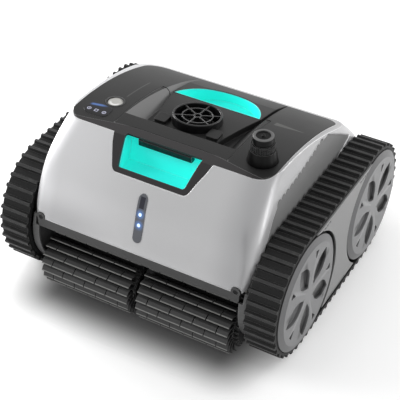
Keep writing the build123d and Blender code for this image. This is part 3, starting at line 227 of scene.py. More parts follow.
def coat(finish, *nodes):
    """Puts a finish on the solids named."""
    for node in nodes:
        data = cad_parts[node].data
        data.materials.clear()
        data.materials.append(finish.material)


SILT_LOW, SILT_HIGH = 10, 34
tub_black = moulded("tub_black", tone(30, 30, 31), 0.55, grain=900.0, depth=0.00005)
silt = tub_black.z.fall(SILT_LOW, SILT_HIGH) * tub_black.noise(60.0).rise(0.45, 0.7)
tub_black.paint(silt * 0.25, tone(96, 92, 84))
coat(tub_black, "chassis", "brush_supports")

# ------------------------------------------------------------------ battery and control box
# The lithium pack is shrink-wrapped in blue film over its row of cells; the control box is
# potted in a dark resin-filled case. Both stand on the tub's floor under the filter.
CELL_PITCH = 21.5
film = moulded("battery_film", tone(28, 62, 120), 0.3, edge=0.003, glint=0.05, Coat_Weight=0.4)
row = abs((film.x / CELL_PITCH).math("FRACT") - 0.5) * 2
film.paint(row.rise(0.8, 1.0) * 0.5, tone(16, 34, 70))
film.soften(1 - row * row, 0.002, 0.003, 0.05)
coat(film, "battery_pack")
potted = moulded("potting_resin", tone(38, 42, 40), 0.35, grain=300.0, depth=0.0001)
coat(potted, "control_box")

# ------------------------------------------------------------------ motors
# Three brushless can motors: deep-drawn steel cans, passivated, with turned shafts and black
# end plates. Each is clamped by its foot or by the spokes of the pump tube.
steel = Finish("motor_steel", tone(168, 170, 172), 0.3, 1.0)
brushed = steel.noise(220.0, 3.0, stretch=(14, 1, 1))
steel.paint(brushed.rise(0.35, 0.7) * 0.35, tone(120, 122, 126))
steel.paint(steel.noise(30.0).rise(0.55, 0.8) * 0.25, tone(150, 138, 118))
steel.polish(brushed.rise(0.3, 0.7), 0.42)
steel.soften(brushed, 0.00002, 0.0008, 0.2)
coat(steel, "left_drive_motor", "right_drive_motor", "pump_motor")

# ------------------------------------------------------------------ pump tube and impeller
# The upright tube that the filtered water leaves by is black; the five-bladed impeller on the
# pump motor's shaft is glass-filled nylon in natural grey.
coat(moulded("tube_black", tone(26, 26, 27), 0.45), "pump_duct")
nylon = moulded("natural_nylon", tone(196, 192, 180), 0.42, grain=700.0, edge=0.0006)
coat(nylon, "impeller")

# ------------------------------------------------------------------ filter basket
# A lift-out basket in charcoal polypropylene; woven polyester screen is moulded into its
# windows, and two soft flaps lie over the suction mouths in its floor.
THREAD_PITCH = 0.9
basket_grey = moulded("basket_charcoal", tone(62, 64, 66), 0.5)
coat(basket_grey, "filter_basket")
screen = Finish("woven_screen", tone(150, 156, 156), 0.55)
warp, weft = (
    abs((along / THREAD_PITCH).math("FRACT") - 0.5) * 2 for along in (screen.x + screen.y, screen.z)
)
thread = warp.floor_at(weft)
screen.paint(thread.fall(0.35, 0.7), tone(22, 24, 26))
screen.feed("Normal", screen.node("Bump", {"Height": thread, "Distance": 0.0003}))
coat(screen, "filter_mesh")
coat(moulded("flap_rubber", tone(48, 50, 52), 0.65, glint=0.1), "left_inlet_flap", "right_inlet_flap")

# ------------------------------------------------------------------ axles, bushes and gears
# Stainless axles are pressed into the tub; the wheels run on them on sintered bronze bushes.
# The gear rings, pinions and brush gears are white acetal, machined smooth at the teeth.
turned = Finish("stainless", tone(190, 191, 193), 0.22, 1.0)
lathe = turned.noise(400.0, 2.0, stretch=(6, 1, 1))
turned.polish(lathe, 0.34)
turned.soften(lathe, 0.00001, 0.0006, 0.2)
coat(turned, "wheel_axles", "hinge_pins")
bronze = Finish("sintered_bronze", tone(158, 122, 78), 0.45, 0.9)
pores = bronze.noise(2600.0, 2.0)
bronze.paint(pores.fall(0.3, 0.45), tone(84, 62, 40))
bronze.soften(pores, 0.00003, 0.0005, 0.2)
coat(bronze, "wheel_bushes")
acetal = moulded("white_acetal", tone(212, 210, 202), 0.36, grain=600.0, edge=0.0005)
coat(
    acetal,
    "left_front_ring_gear",
    "right_rear_ring_gear",
    "left_pinion",
    "right_pinion",
    "right_front_hub_gear",
    "left_rear_hub_gear",
)

# ------------------------------------------------------------------ wheels and hub caps
# Each wheel is a black drum with six holes in its web. A grey cap snaps over it, with five
# leaf-shaped hollows, five small slots and a bevelled rim. On the cap the middle is painted
# paler, the bevel is painted darker as shade, and each leaf has a dark rib of painted shade and
# a pale crest of painted highlight beside it, painted shade across its flat floor, darkest to one
# side, and a ring of painted shade round the cap's rim.
AXLE_Y, AXLE_Z = 100.0, 86.5
CAP_FACE, CAP_BEVEL_R, CAP_R = 206.6, 69.0, 78.0
LEAF_FLOOR, LEAF_END_R = 202.0, 66.0
LEAF_PITCH, LEAF_TURN = 72, 39.6
wheel_black = moulded("wheel_black", tone(34, 34, 35), 0.5)
coat(wheel_black, "left_front_wheel", "left_rear_wheel", "right_front_wheel", "right_rear_wheel")
for end, axle_y in (("front", -AXLE_Y), ("rear", AXLE_Y)):
    cap = moulded(f"{end}_cap_grey", tone(112, 112, 113), 0.42, grain=1800.0, edge=0.0012, glint=0.3)
    reach = cap.away(y=axle_y, z=AXLE_Z)
    swing = (cap.z - AXLE_Z).math("ARCTAN2", cap.y - axle_y) * math.degrees(1)
    leaf = (swing - LEAF_TURN) / LEAF_PITCH + 0.5
    lean = (leaf.math("FRACT") - 0.5) * LEAF_PITCH
    sunk = abs(cap.x).fall(LEAF_FLOOR + 0.3, CAP_FACE - 0.6)
    floor_shade = lean.fall(-12, 26) * 0.6 + reach.rise(18, 52) * 0.4
    cap.paint(reach.fall(8, 30) * 0.25, tone(140, 140, 141))
    # Painted shade on the bevel ring.
    cap.paint(reach.rise(CAP_BEVEL_R - 0.6, CAP_BEVEL_R + 0.4) * 0.7, tone(80, 80, 81))
    # Painted shade: a dark rib beside each leaf.
    rib_shade = lean.rise(-14, -7) * lean.fall(-8, 1)
    rib_shade = rib_shade * reach.rise(9, 16) * reach.fall(LEAF_END_R - 8, LEAF_END_R)
    cap.paint(rib_shade * 0.75, tone(26, 26, 26))
    # Painted highlight: a pale crest beside each leaf.
    crest_highlight = abs(lean - 30).fall(1, 6)
    crest_highlight = crest_highlight * reach.rise(10, 18) * reach.fall(LEAF_END_R - 16, LEAF_END_R)
    cap.paint(crest_highlight * 0.5, tone(150, 150, 151))
    # Painted shade across each leaf's flat floor, darkest to one side and outwards.
    cap.paint(sunk * reach.fall(LEAF_END_R, LEAF_END_R + 2) * floor_shade, tone(14, 14, 14))
    # Painted shade: a near black ring at the cap's rim.
    cap.paint(reach.rise(CAP_R - 0.7, CAP_R), tone(14, 14, 14))
    coat(cap, f"left_{end}_hub_cap", f"right_{end}_hub_cap")

# ------------------------------------------------------------------ tracks
# Moulded rubber belts with a lug every 14.6 mm. The valleys between the lugs are painted near
# black as shade and stay matt; the lugs' tops are buffed smoother and painted paler as a
# highlight, and the belt's ground edges are smooth.
BELT_R, LUG_R = 82.4, 86.5
rubber = Finish("track_rubber", tone(22, 22, 22), 0.62, Specular_IOR_Level=0.3)
crumb = rubber.noise(1500.0, 3.0)
past_axle = (abs(rubber.y) - AXLE_Y).floor_at(0)
above_axle = rubber.z - AXLE_Z
around = (past_axle * past_axle + above_axle * above_axle).root()
# Painted shade: the valleys between the lugs near black.
rubber.paint(around.fall(BELT_R - 0.2, BELT_R + 1.6) * 0.8, tone(9, 9, 9))
# Painted highlight: the lugs' tops paler.
rubber.paint(around.rise(LUG_R - 1.0, LUG_R - 0.1), tone(44, 44, 44))
scuffs = rubber.noise(90.0, 4.0).rise(0.5, 0.72) * around.rise(BELT_R, LUG_R)
rubber.paint(scuffs * 0.2, tone(92, 92, 90))
rubber.paint(crumb.rise(0.4, 0.7) * 0.12, tone(96, 96, 96))
rubber.polish(around.rise(LUG_R - 1.0, LUG_R), 0.5)
rubber.soften(crumb, 0.00008, 0.0009, 0.18)
coat(rubber, "left_track", "right_track")

# ------------------------------------------------------------------ side frames and covers
# The plates that carry the wheels and brush ends are grey nylon, with a curved guard round
# each end; a flat cover in satin grey fills the space between the two wheels.
guard_grey = moulded("guard_grey", tone(82, 82, 82), 0.45, glint=0.3, edge=0.0012)
coat(guard_grey, "left_side_frame", "right_side_frame")
cover_grey = moulded("cover_grey", tone(122, 122, 122), 0.42, grain=2000.0, glint=0.25)
coat(cover_grey, "left_side_cover", "right_side_cover")

# ------------------------------------------------------------------ brushes
# Each brush is a black drum that wears two soft rubber sleeves, one each side of its middle.
# Their fins stand in twenty rows, swept back and slit into tabs, with each row's slits half a
# tab along from the last. The tips are painted pale as a highlight and the roots are painted dark
# as shade.
BRUSH_Y, BRUSH_Z, BRUSH_R, FIN_ROOT_R = 150.0, 42.0, 39.0, 23.0
coat(moulded("drum_black", tone(24, 24, 24), 0.5), "front_brush_core", "rear_brush_core")
fin_rubber = Finish("fin_rubber", tone(50, 50, 50), 0.6)
ribs = fin_rubber.noise(500.0, 3.0, stretch=(0.15, 1, 1))
gap_y, gap_z = abs(fin_rubber.y) - BRUSH_Y, fin_rubber.z - BRUSH_Z
depth = (gap_y * gap_y + gap_z * gap_z).root()
# Painted shade: the fins darken towards their roots.
fin_rubber.paint(depth.fall(FIN_ROOT_R, BRUSH_R - 3), tone(24, 24, 24))
# Painted highlight: the fin tips paler.
fin_rubber.paint(depth.rise(BRUSH_R - 1.6, BRUSH_R - 1.2) * 0.85, tone(136, 136, 134))
fin_rubber.paint(ribs.rise(0.45, 0.75) * 0.15, tone(90, 90, 90))
fin_rubber.soften(ribs, 0.0001, 0.0007, 0.2)


class Recipe(Maker):
    """A Geometry Nodes tree that grows a mesh from a rule, with named inputs for its sizes."""

    families = ("GeometryNode", "ShaderNode")

    def __init__(self, name):
        super().__init__(bpy.data.node_groups.new(name, "GeometryNodeTree"))
        self.tree.interface.new_socket("Geometry", in_out="OUTPUT", socket_type="NodeSocketGeometry")
        self.entry = self.tree.nodes.new("NodeGroupInput")
        self.given = {}

    def ask(self, name, kind, value=None):
        """A named input of the tree and the value it is given."""
        kind = "NodeSocket" + kind
        item = self.tree.interface.new_socket(name, in_out="INPUT", socket_type=kind)
        if value is not None:
            self.given[item.identifier] = value
        return Link(self, self.entry.outputs[name])

    def grow(self, thing, result):
        """Ends the tree, runs it on a mesh object and leaves that object a plain mesh."""
        self.join(result, self.tree.nodes.new("NodeGroupOutput").inputs[0])
        growth = thing.modifiers.new(self.tree.name, "NODES")
        growth.node_group = self.tree
        for identifier, value in self.given.items():
            growth[identifier] = value
        ready = thing.evaluated_get(bpy.context.evaluated_depsgraph_get())
        grown = bpy.data.meshes.new_from_object(ready)
        thing.modifiers.remove(growth)
        thing.data = grown


def solid(name, points, faces):
    """A closed mesh object with its faces turned outwards."""
    shape = bmesh.new()
    corners = [shape.verts.new(point) for point in points]
    for face in faces:
        shape.faces.new([corners[i] for i in face])
    bmesh.ops.recalc_face_normals(shape, faces=shape.faces)
    mesh = bpy.data.meshes.new(name)
    shape.to_mesh(mesh)
    shape.free()
    thing = bpy.data.objects.new(name, mesh)
    bpy.context.scene.collection.objects.link(thing)
    return thing


# The sleeves' sizes are in metres: they are measures of a mesh.
FIN_START, FIN_RUN = 0.0058, 0.134
FIN_ROWS, FIN_TABS, FIN_GAP, SHORTEST_TAB = 20, 4, 0.0016, 0.004
SLEEVE_IN_R, SLEEVE_OUT_R, SLEEVE_STEPS = 0.0190, 0.0215, 40
# A fin's section from root to tip: its radius, how many degrees it has swept, its thickness.
FIN_SWEEP = (
    (0.0206, 0, 0.0024),
    (0.0250, 2, 0.0019),
    (0.0300, 6, 0.0016),
    (0.0345, 13, 0.0014),
    (0.0379, 21, 0.0012),
)
for end, brush_turn in (("front", 0), ("rear", math.pi)):
    spine = [
        Vector((0, -r * math.sin(math.radians(a)), r * math.cos(math.radians(a))))
        for r, a, _ in FIN_SWEEP
    ]
    ahead = [(b - a).normalized() for a, b in zip(spine[:1] + spine, spine[1:] + spine[-1:])]
    aside = [Vector((0, d.z, -d.y)) * t / 2 for d, (_, _, t) in zip(ahead, FIN_SWEEP)]
    section = [p + o for p, o in zip(spine, aside)] + [p - o for p, o in zip(spine, aside)][::-1]
    count = len(section)
    tab_points = [p + Vector((x, 0, 0)) for x in (-0.5, 0.5) for p in section]
    tab_faces = [(i, (i + 1) % count, (i + 1) % count + count, i + count) for i in range(count)]
    tab_faces += [range(count), range(count, 2 * count)]
    tab = solid("fin_tab", tab_points, tab_faces)

    ring_points, ring_faces = [], []
    for start in (FIN_START, -FIN_START - FIN_RUN):
        first = len(ring_points)
        corners = [(SLEEVE_IN_R, start), (SLEEVE_OUT_R, start)]
        corners += [(SLEEVE_OUT_R, start + FIN_RUN), (SLEEVE_IN_R, start + FIN_RUN)]
        for k in range(SLEEVE_STEPS):
            angle = 2 * math.pi * k / SLEEVE_STEPS
            ring_points += [(x, -r * math.sin(angle), r * math.cos(angle)) for r, x in corners]
        sides = len(corners)
        total = sides * SLEEVE_STEPS
        for k in range(SLEEVE_STEPS):
            for c in range(sides):
                near, far = sides * k + c, sides * k + (c + 1) % sides
                quad = (near, far, far + sides, near + sides)
                ring_faces.append([first + i % total for i in quad])
    brush = solid(f"{end}_brush_sleeve", ring_points, ring_faces)

    shingles = Recipe(f"{end}_fin_rows")
    sleeve = shingles.ask("Geometry", "Geometry")
    rows = shingles.ask("Rows", "Int", FIN_ROWS)
    tabs = shingles.ask("Tabs", "Int", FIN_TABS)
    begin = shingles.ask("Start", "Float", FIN_START)
    run = shingles.ask("Run", "Float", FIN_RUN)
    gap = shingles.ask("Gap", "Float", FIN_GAP)
    pattern = shingles.ask("Tab", "Object", tab)
    skin = shingles.ask("Finish", "Material", fin_rubber.material)
    number = shingles.node("InputIndex", {})
    places = tabs + 1
    row = (number / places).math("FLOOR")
    place = number - row * places
    half = (row / rows).math("FLOOR")
    shift = row.math("MODULO", 2) * 0.5
    low = ((place - shift) / tabs * run).floor_at(0)
    high = ((place + 1 - shift) / tabs * run).cap_at(run)
    wide = high - low - gap
    middle_x = begin + (low + high) / 2 - half * (begin * 2 + run)
    seeds = shingles.node("MeshLine", {"Count": rows * places * 2})
    spot = shingles.node("CombineXYZ", {0: middle_x})
    seeds = shingles.node("SetPosition", {0: seeds, "Position": spot})
    grown = shingles.node("InstanceOnPoints", {
        "Points": seeds,
        "Selection": wide.math("GREATER_THAN", SHORTEST_TAB),
        "Instance": shingles.node("ObjectInfo", {"Object": pattern}, output="Geometry"),
        "Rotation": shingles.node("CombineXYZ", {0: row * math.tau / rows}),
        "Scale": shingles.node("CombineXYZ", {0: wide, 1: 1.0, 2: 1.0}),
    })
    grown = shingles.node("RealizeInstances", {0: grown})
    whole = shingles.node("JoinGeometry", {0: [sleeve, grown]})
    shingles.grow(brush, shingles.node("SetMaterial", {0: whole, "Material": skin}))
    bpy.data.objects.remove(tab)
    place_on_axle = Matrix.Translation((0, -BRUSH_Y / 1000, BRUSH_Z / 1000))
    brush.data.transform(Matrix.Rotation(brush_turn, 4, "Z") @ place_on_axle)
    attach(brush, f"{end}_brush_body")
    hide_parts(f"{end}_brush_fins")

# ------------------------------------------------------------------ bumpers and screws
# A dark grey bar runs under the shell's rim at the front and rear, held by a blackened
# stainless screw in the ear at each end.
bumper_grey = moulded("bumper_grey", tone(54, 54, 54), 0.5, grain=800.0, depth=0.00006, glint=0.25)
coat(bumper_grey, "front_bumper", "rear_bumper")
EAR_X, EAR_Z = 142.6, 119.5
SLOT_HALF, SLOT_REACH = 0.6, 2.5
blackened = Finish("blackened_screw", tone(26, 26, 28), 0.35, 0.6)
across, upward = abs(abs(blackened.x) - EAR_X), abs(blackened.z - EAR_Z)
cross = across.cap_at(upward).fall(SLOT_HALF - 0.25, SLOT_HALF)
cross = cross * across.floor_at(upward).fall(SLOT_REACH - 0.3, SLOT_REACH)
# Painted shade: the cross slot, sunk by the bump below, is near black.
blackened.paint(cross, tone(4, 4, 4))
blackened.soften(1 - cross, 0.0008, 0.0006, 0.25)
coat(blackened, "body_screws")

# ------------------------------------------------------------------ shell
# The big cover is one moulding, sprayed in a fine silver metallic and lacquered satin. It sits
# on the tub's flange, and the grey panels are let into its sides. Painted on the silver are a
# broad highlight along the left, a brighter one at its left edge, shade at the left foot, a band
# of shade before the right corner, and near white edges as highlight.
SHELL_LEFT, SHELL_RIGHT = -140, 155
silver = Finish(
    "silver_lacquer", tone(185, 185, 186), 0.36, 0.35, Coat_Weight=0.25, Coat_Roughness=0.22
)
flake = silver.noise(5200.0, 1.0)
silver.paint(flake.rise(0.35, 0.75) * 0.22, tone(212, 212, 214))
silver.paint(silver.noise(6.0, 3.0).rise(0.4, 0.7) * 0.1, tone(170, 170, 172))
# Painted light: highlights along the left, shade at the left foot and before the right corner.
painted_left_sheen = silver.x.fall(SHELL_LEFT, 30) * silver.z.rise(90, 150)
silver.paint(painted_left_sheen * 0.45, tone(228, 228, 230))
painted_left_highlight = silver.x.fall(SHELL_LEFT, SHELL_LEFT + 18) * silver.z.rise(100, 130)
silver.paint(painted_left_highlight * 0.3, tone(250, 250, 252))
painted_foot_shade = silver.z.fall(118, 165) * silver.x.fall(-110, -20)
silver.paint(painted_foot_shade * 0.6, tone(156, 156, 158))
painted_corner_shade = silver.x.rise(92, SHELL_RIGHT - 14) * silver.x.fall(SHELL_RIGHT - 9, SHELL_RIGHT)
silver.paint(painted_corner_shade * 0.5, tone(140, 140, 142))
silver.polish(flake.rise(0.4, 0.6), 0.4)
# Painted highlight: the edges are painted near white.
silver.soften(flake, 0.000008, 0.0024, 0.9, glint_colour=(0.97, 0.97, 0.98))
coat(silver, "shell")
panel_grey = moulded("panel_grey", tone(116, 116, 116), 0.45, grain=2200.0, edge=0.0012, glint=0.3)
coat(panel_grey, "left_side_panel", "right_side_panel")

# ------------------------------------------------------------------ deck, lid and grip frame
# The top covers are black polycarbonate blend with a satin spark-eroded grain: a fixed deck
# and the lid over the filter, with the frame round the front hand grip below their edge.
LID_EDGE_Y, BORDER_X = -83.0, 84
FACET_FACING, FACET_FRONT_Y, FACET_X = 0.5, -60, -50
SHOULDER_X, SHOULDER_TIP_X, SHOULDER_Y, SHOULDER_TAPER = 88, 132, 27, 9
CREASE_X, CREASE_FRONT_Y, CREASE_BACK_Y = -99.8, -30, 34
deck_black = moulded(
    "deck_black", tone(31, 31, 31), 0.42, grain=2400.0, edge=0.0016, glint=0, Specular_IOR_Level=0.28
)
facing = deck_black.node("SeparateXYZ", {0: deck_black.node("NewGeometry", {}, output="Normal")})
# Painted highlight: the left facet, which faces right, is light grey.
facet = facing.rise(FACET_FACING, FACET_FACING + 0.06) * deck_black.x.fall(FACET_X, FACET_X + 2)
facet = facet * deck_black.y.rise(FACET_FRONT_Y - 2, FACET_FRONT_Y)
deck_black.paint(facet * 0.9, tone(128, 128, 128))
# Painted highlight: a tapering light band along the right shoulder.
taper = (SHOULDER_TIP_X - deck_black.x) / SHOULDER_TAPER
shoulder = taper.rise(0, 0.4) * deck_black.x.rise(SHOULDER_X, SHOULDER_X + 2)
shoulder = shoulder * abs(deck_black.y - SHOULDER_Y).math("LESS_THAN", taper)
deck_black.paint(shoulder * 0.5, tone(104, 104, 102))
# Painted highlight: a thin light line along the left crease.
crease = abs(deck_black.x - CREASE_X).fall(0.5, 1.3)
crease = crease * deck_black.y.rise(CREASE_FRONT_Y, CREASE_FRONT_Y + 6)
crease = crease * deck_black.y.fall(CREASE_BACK_Y - 10, CREASE_BACK_Y)
deck_black.paint(crease * 0.4, tone(104, 104, 104))
# Painted highlight: the lid's front edges paler.
rim = deck_black.edges * deck_black.y.fall(LID_EDGE_Y - 2, LID_EDGE_Y)
deck_black.paint(rim * 0.7, tone(160, 160, 160))
# Painted shade: the other edges towards the sides near black, a dark line at the deck's border.
border = deck_black.edges * (1 - rim) * (1 - facet)
border = border * abs(deck_black.x).rise(BORDER_X, BORDER_X + 4)
deck_black.paint(border * 0.95, tone(3, 3, 3))
coat(deck_black, "deck", "lid")
frame_black = moulded(
    "grip_frame_black", tone(41, 39, 40), 0.42, grain=2400.0, edge=0.0011, glint=0.12, Specular_IOR_Level=0.3
)
coat(frame_black, "grip_bezel")

# ------------------------------------------------------------------ lid latch
# A gloss black bar along the top of the grip, which holds the lid shut by its face plate.
# Fingers pull it forward on two guide pins, and it springs back.
latch_black = moulded(
    "latch_black", tone(10, 10, 11), 0.25, edge=0.001, glint=0.6, Specular_IOR_Level=0.4
)
coat(latch_black, "lid_latch")

# ------------------------------------------------------------------ hand grip pockets
# Two tubs in bright turquoise gloss; only the inside is coloured. The front one is made to glow
# faintly in its own colour as painted light, and its rim outside the mouth is painted near black
# as shade; the back of the rear one is painted black as shade where it would show through the
# outlet.
MOUTH_Y, MOUTH_HALF, MOUTH_FLARE = -130.6, 46.2, 0.25
CRESCENT_Y, CRESCENT_R, CRESCENT_FRONT_Y, CRESCENT_LOW_Z = 16.8, 65.6, 32.9, 192.5
FEATHER = 0.3
turquoise = tone(60, 255, 246)
GLOSS = {"grain": 3000.0, "depth": 0.000008, "edge": 0.002, "glint": 0.15, "vary": 0.03}
# Painted light: the front tub glows faintly in its own colour.
front_teal = moulded(
    "turquoise_gloss", turquoise, 0.3, **GLOSS, Emission_Color=(*turquoise, 1), Emission_Strength=0.1
)
mouth_half = (front_teal.y - MOUTH_Y) * MOUTH_FLARE + MOUTH_HALF
# Painted shade: the front tub near black outside its mouth.
lip_shade = front_teal.y.fall(MOUTH_Y - 0.4, MOUTH_Y - 0.1)
lip_shade = lip_shade.floor_at((abs(front_teal.x) - mouth_half).rise(0.2, 0.5))
front_teal.paint(lip_shade, tone(18, 18, 19))
coat(front_teal, "front_grip_pocket")
rear_teal = moulded("turquoise_rear", turquoise, 0.3, **GLOSS)
crescent = rear_teal.away(x=0, y=CRESCENT_Y).fall(CRESCENT_R - FEATHER, CRESCENT_R)
crescent = crescent * rear_teal.y.rise(CRESCENT_FRONT_Y - FEATHER, CRESCENT_FRONT_Y)
crescent = crescent * rear_teal.z.rise(CRESCENT_LOW_Z - FEATHER, CRESCENT_LOW_Z)
# Painted shade: the rear tub black outside the crescent, where it shows through the outlet.
rear_teal.paint(1 - crescent, tone(18, 18, 18))
coat(rear_teal, "rear_grip_pocket")

# ------------------------------------------------------------------ outlet grille
# The round outlet is one gloss black moulding, a collar with a six-spoked web, that snaps
# into the lid over the pump's tube.
grille_black = moulded(
    "grille_black", tone(14, 14, 15), 0.3, grain=2600.0, edge=0.0011, glint=0.4, Specular_IOR_Level=0.4
)
coat(grille_black, "outlet_grille")

# ------------------------------------------------------------------ controls
# A brushed metal power button in a black ring, painted with a highlight on its near side and
# shade at its far rim; a glossy touch pad with three small glowing marks and an arc of painted
# blue reflection made to glow; and the charging socket under its knurled screw cap, whose top
# face and knurl edges are painted paler as highlight.
ring_black = moulded("button_ring", tone(12, 12, 13), 0.3, edge=0.001, glint=0.3)
coat(ring_black, "button_bezel")
BUTTON_X, BUTTON_Y, DISH_R = -105.6, -45.5, 7.6
button_metal = Finish("button_metal", tone(188, 187, 183), 0.34, 0.5)
dish = button_metal.away(x=BUTTON_X, y=BUTTON_Y)
spun = (dish * 3).math("SINE")
button_metal.paint(spun.rise(-1, 1) * 0.18, tone(150, 150, 146))
# Painted highlight on the near side of the dish, and painted shade at its far rim.
near_wall_highlight = abs(dish - DISH_R + 1.2).fall(0.5, 2.6) * button_metal.y.fall(BUTTON_Y - 4.5, BUTTON_Y + 0.5)
button_metal.paint(near_wall_highlight * 0.9, tone(240, 240, 238))
far_rim_shade = dish.rise(DISH_R, DISH_R + 1) * button_metal.y.rise(BUTTON_Y + 1.5, BUTTON_Y + 4.5)
button_metal.paint(far_rim_shade * 0.6, tone(96, 96, 94))
button_metal.soften(spun, 0.00001, 0.0012, 0.4)
coat(button_metal, "power_button")
PAD_FACE, PAD_FRONT_Y = 235.3, -82
DOT_X, DOT_Y, SQUARE_X, SQUARE_Y, STROKE_X, STROKE_Y = -125.7, -75.6, -114.9, -75.7, -103.4, -75.5
RING_R, SQUARE_HALF, DOT_R, STROKE_HALF, STROKE_REACH = 2.4, 2.1, 0.9, 0.5, 1.9
BOW_X, BOW_Y, BOW_SLOPE = -120, -64, 0.2
pad_black = moulded(
    "touch_pad", tone(8, 8, 10), 0.15, grain=3000.0, depth=0.000003, glint=0.1, Specular_IOR_Level=0.25
)
dotted = pad_black.away(x=DOT_X, y=DOT_Y)
square = abs(pad_black.x - SQUARE_X).floor_at(abs(pad_black.y - SQUARE_Y))
struck = pad_black.away(x=STROKE_X, y=STROKE_Y)
marks = sum(abs(ring - RING_R).fall(0.3, 0.6) for ring in (dotted, struck))
marks = marks + abs(square - SQUARE_HALF).fall(0.3, 0.6) + dotted.fall(DOT_R - 0.4, DOT_R)
stroke = abs(pad_black.x - STROKE_X).fall(STROKE_HALF - 0.3, STROKE_HALF)
marks = marks + stroke * struck.fall(STROKE_REACH - 0.3, STROKE_REACH)
# Painted reflection: a blue arc, made to glow along with the marks.
bow_reflection = (pad_black.x - BOW_X) * BOW_SLOPE - (pad_black.y - BOW_Y)
bow_reflection = abs(bow_reflection).fall(0.3, 3.6) * pad_black.x.rise(BOW_X - 11, BOW_X - 6)
bow_reflection = bow_reflection * pad_black.x.fall(BOW_X + 4, BOW_X + 16)
face = pad_black.z.rise(PAD_FACE - 0.2, PAD_FACE)
pad_black.paint(pad_black.y.rise(PAD_FRONT_Y, PAD_FRONT_Y + 2.5) * 0.9, tone(26, 27, 31))
lit = pad_black.mix(bow_reflection * face, (0, 0, 0), tone(84, 122, 190))
pad_black.glow(pad_black.mix(marks * face, lit, tone(214, 216, 240)), 0.85)
coat(pad_black, "icon_pad")
CAP_X, CAP_Y, CAP_TOP, CAP_HOLE_R = 117.6, -63.6, 272.5, 5.0
KNURL_LOW, KNURL_HIGH = 250.0, 263.0
cap_black = moulded(
    "cap_black", tone(3, 3, 3), 0.3, edge=0.0006, glint=0.2, Specular_IOR_Level=0.15
)
# Painted highlight: the cap's top face grey round its hole.
crown_highlight = cap_black.z.rise(CAP_TOP - 0.4, CAP_TOP)
crown_highlight = crown_highlight * cap_black.away(x=CAP_X, y=CAP_Y).rise(CAP_HOLE_R - 1, CAP_HOLE_R)
cap_black.paint(crown_highlight * 0.9, tone(112, 112, 112))
# Painted highlight: the knurl edges paler.
knurls = cap_black.z.rise(KNURL_LOW - 1, KNURL_LOW) * cap_black.z.fall(KNURL_HIGH, KNURL_HIGH + 1)
cap_black.paint(cap_black.edges * knurls * 0.7, tone(150, 150, 150))
coat(cap_black, "charge_cap", "charge_socket")

# ------------------------------------------------------------------ light bar
# A grey polycarbonate bar let into the shell, with a dark sensor window at its upper end and
# two blue status lights behind clear lenses. The bar is made to glow blue round the lenses, a
# painted halo of their light.
LOW_LENS_Z, HIGH_LENS_Z = 156.0, 169.8
WINDOW_Z, WINDOW_HALF_X, WINDOW_HALF_Z = 184, 3.6, 7.0
bar_grey = moulded("light_bar_grey", tone(84, 86, 92), 0.35, edge=0.001, glint=0.3)
window = abs(bar_grey.x).fall(WINDOW_HALF_X - 0.4, WINDOW_HALF_X)
window = window * abs(bar_grey.z - WINDOW_Z).fall(WINDOW_HALF_Z - 0.4, WINDOW_HALF_Z)
bar_grey.paint(window, tone(10, 12, 34))
bar_grey.polish(window, 0.08)
# Painted light: a blue halo glowing on the bar round each lens.
halo = sum(bar_grey.away(x=0, z=z).fall(1.5, 8) for z in (LOW_LENS_Z, HIGH_LENS_Z))
bar_grey.glow(bar_grey.mix(halo, (0, 0, 0), tone(40, 120, 205)), 0.55)
coat(bar_grey, "light_bar")
lens = Finish("status_lens", tone(110, 180, 240), 0.1)
core = lens.away(x=0, z=LOW_LENS_Z).cap_at(lens.away(x=0, z=HIGH_LENS_Z)).fall(0.3, 2.4)
lens.glow(lens.mix(core, tone(40, 130, 225), tone(190, 236, 255)), 1.1)
coat(lens, "light_lenses")

# ------------------------------------------------------------------ floor and light
# A plain white studio floor under a white sky. The floor keeps the machine's shadow and a
# faint reflection of it, is painted dark as shadow where the machine shades it, and is pure
# white far away.
FLOOR_SIDE = 12
SHADE_HALF_X, SHADE_FRONT_Y, SHADE_BACK_Y = 205, -248, 225
DARK_HALF_X, DARK_FRONT_Y, DARK_BACK_Y = 122, -176, 150
NEAR_R, FAR_R = 750, 1300
WHITE = (1, 1, 1, 1)


def shown(maker, lit, white):
    """One shader lights the object, and the camera, a mirror or a clear lens sees the white one."""
    camera_ray, glossy_ray, through_ray = (
        maker.node("LightPath", {}, output=f"Is {kind} Ray")
        for kind in ("Camera", "Glossy", "Transmission")
    )
    seen = camera_ray.floor_at(glossy_ray).floor_at(through_ray)
    return maker.node("MixShader", {0: seen, 1: lit, 2: white})


bpy.ops.mesh.primitive_plane_add(size=FLOOR_SIDE)
floor = bpy.context.object
floor.name = "floor"
floor_white = Finish("floor_white", tone(252, 252, 252), 0.22)
floor_white.paint(floor_white.noise(3.0, 2.0) * 0.02, tone(244, 244, 244))
shade = floor_white.y.rise(SHADE_FRONT_Y, DARK_FRONT_Y) * floor_white.y.fall(DARK_BACK_Y, SHADE_BACK_Y)
shade = shade * abs(floor_white.x).fall(DARK_HALF_X, SHADE_HALF_X)
floor_white.paint(shade * 0.86, tone(20, 20, 20))
plain = Link(floor_white, floor_white.shader.outputs[0])
lift = floor_white.node("Emission", {"Color": WHITE, "Strength": 0.2})
lifted = floor_white.node("AddShader", {0: plain, 1: lift})
near = floor_white.node("MixShader", {0: shade * 0.9, 1: lifted, 2: plain})
bare = floor_white.node("Emission", {"Color": WHITE, "Strength": 1.0})
distant = floor_white.away(x=0, y=0).rise(NEAR_R, FAR_R)
clean = floor_white.node("MixShader", {0: distant, 1: near, 2: bare})
surface = floor_white.tree.nodes["Material Output"].inputs["Surface"]
floor_white.join(shown(floor_white, plain, clean), surface)
floor.data.materials.append(floor_white.material)

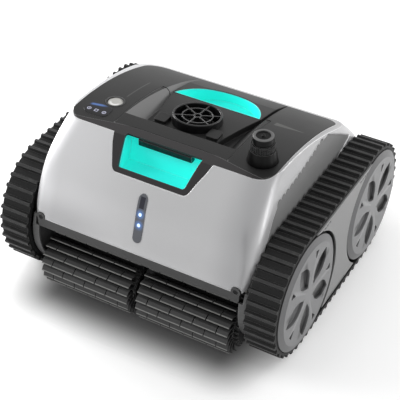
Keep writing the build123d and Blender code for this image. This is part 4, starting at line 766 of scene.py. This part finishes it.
world = bpy.data.worlds.new("studio")
bpy.context.scene.world = world
world.use_nodes = True
sky = Maker(world.node_tree)
soft = sky.node("Background", {"Color": WHITE, "Strength": 0.62})
white = sky.node("Background", {"Color": WHITE, "Strength": 1.0})
sky.join(shown(sky, soft, white), sky.tree.nodes["World Output"].inputs["Surface"])


# ------------------------------------------------------------------ lamps and flag
# A big soft lamp stands to the left in front, a tall narrow one on the right with a dark flag
# beside it for the right corner, a low one on the left for the shell's edge, and one behind
# for the deck's facet.
def lamp(name, place, target, wide, tall, power, mirrored=True):
    """A soft rectangular lamp, which the camera doesn't see."""
    light = bpy.data.lights.new(name, "AREA")
    light.shape = "RECTANGLE"
    light.size, light.size_y = wide, tall
    light.energy = power
    thing = bpy.data.objects.new(name, light)
    bpy.context.scene.collection.objects.link(thing)
    thing.location = place
    thing.rotation_euler = (Vector(target) - Vector(place)).to_track_quat("-Z", "Y").to_euler()
    thing.visible_glossy = mirrored
    thing.visible_camera = False


middle = (0, 0, 0.1)
lamp("key", (-2.0, -0.8, 1.3), middle, 1.2, 1.2, 26, mirrored=False)
lamp("side", (1.5, 0.1, 0.45), middle, 0.12, 0.9, 4.5)
lamp("rim", (1.15, 1.25, 0.85), (0, 0, 0.22), 0.7, 0.5, 8)
lamp("left", (-1.2, 0.2, 0.25), middle, 0.5, 0.6, 16)

FLAG_WIDE, FLAG_TALL = 0.42, 0.9
bpy.ops.mesh.primitive_plane_add(size=1)
flag = bpy.context.object
flag.name = "flag"
flag.data.transform(Matrix.Diagonal((FLAG_WIDE, FLAG_TALL, 1, 1)))
flag_place = Vector((0.52, -1.55, 0.5))
facing_middle = (Vector(middle) - flag_place).to_track_quat("Z", "Y").to_matrix().to_4x4()
flag.data.transform(Matrix.Translation(flag_place) @ facing_middle)
flag.visible_camera = flag.visible_diffuse = flag.visible_shadow = False
felt = Finish("flag_felt", tone(20, 20, 20), 0.9)
felt.paint(felt.noise(900.0) * 0.3, tone(34, 34, 34))
flag.data.materials.append(felt.material)
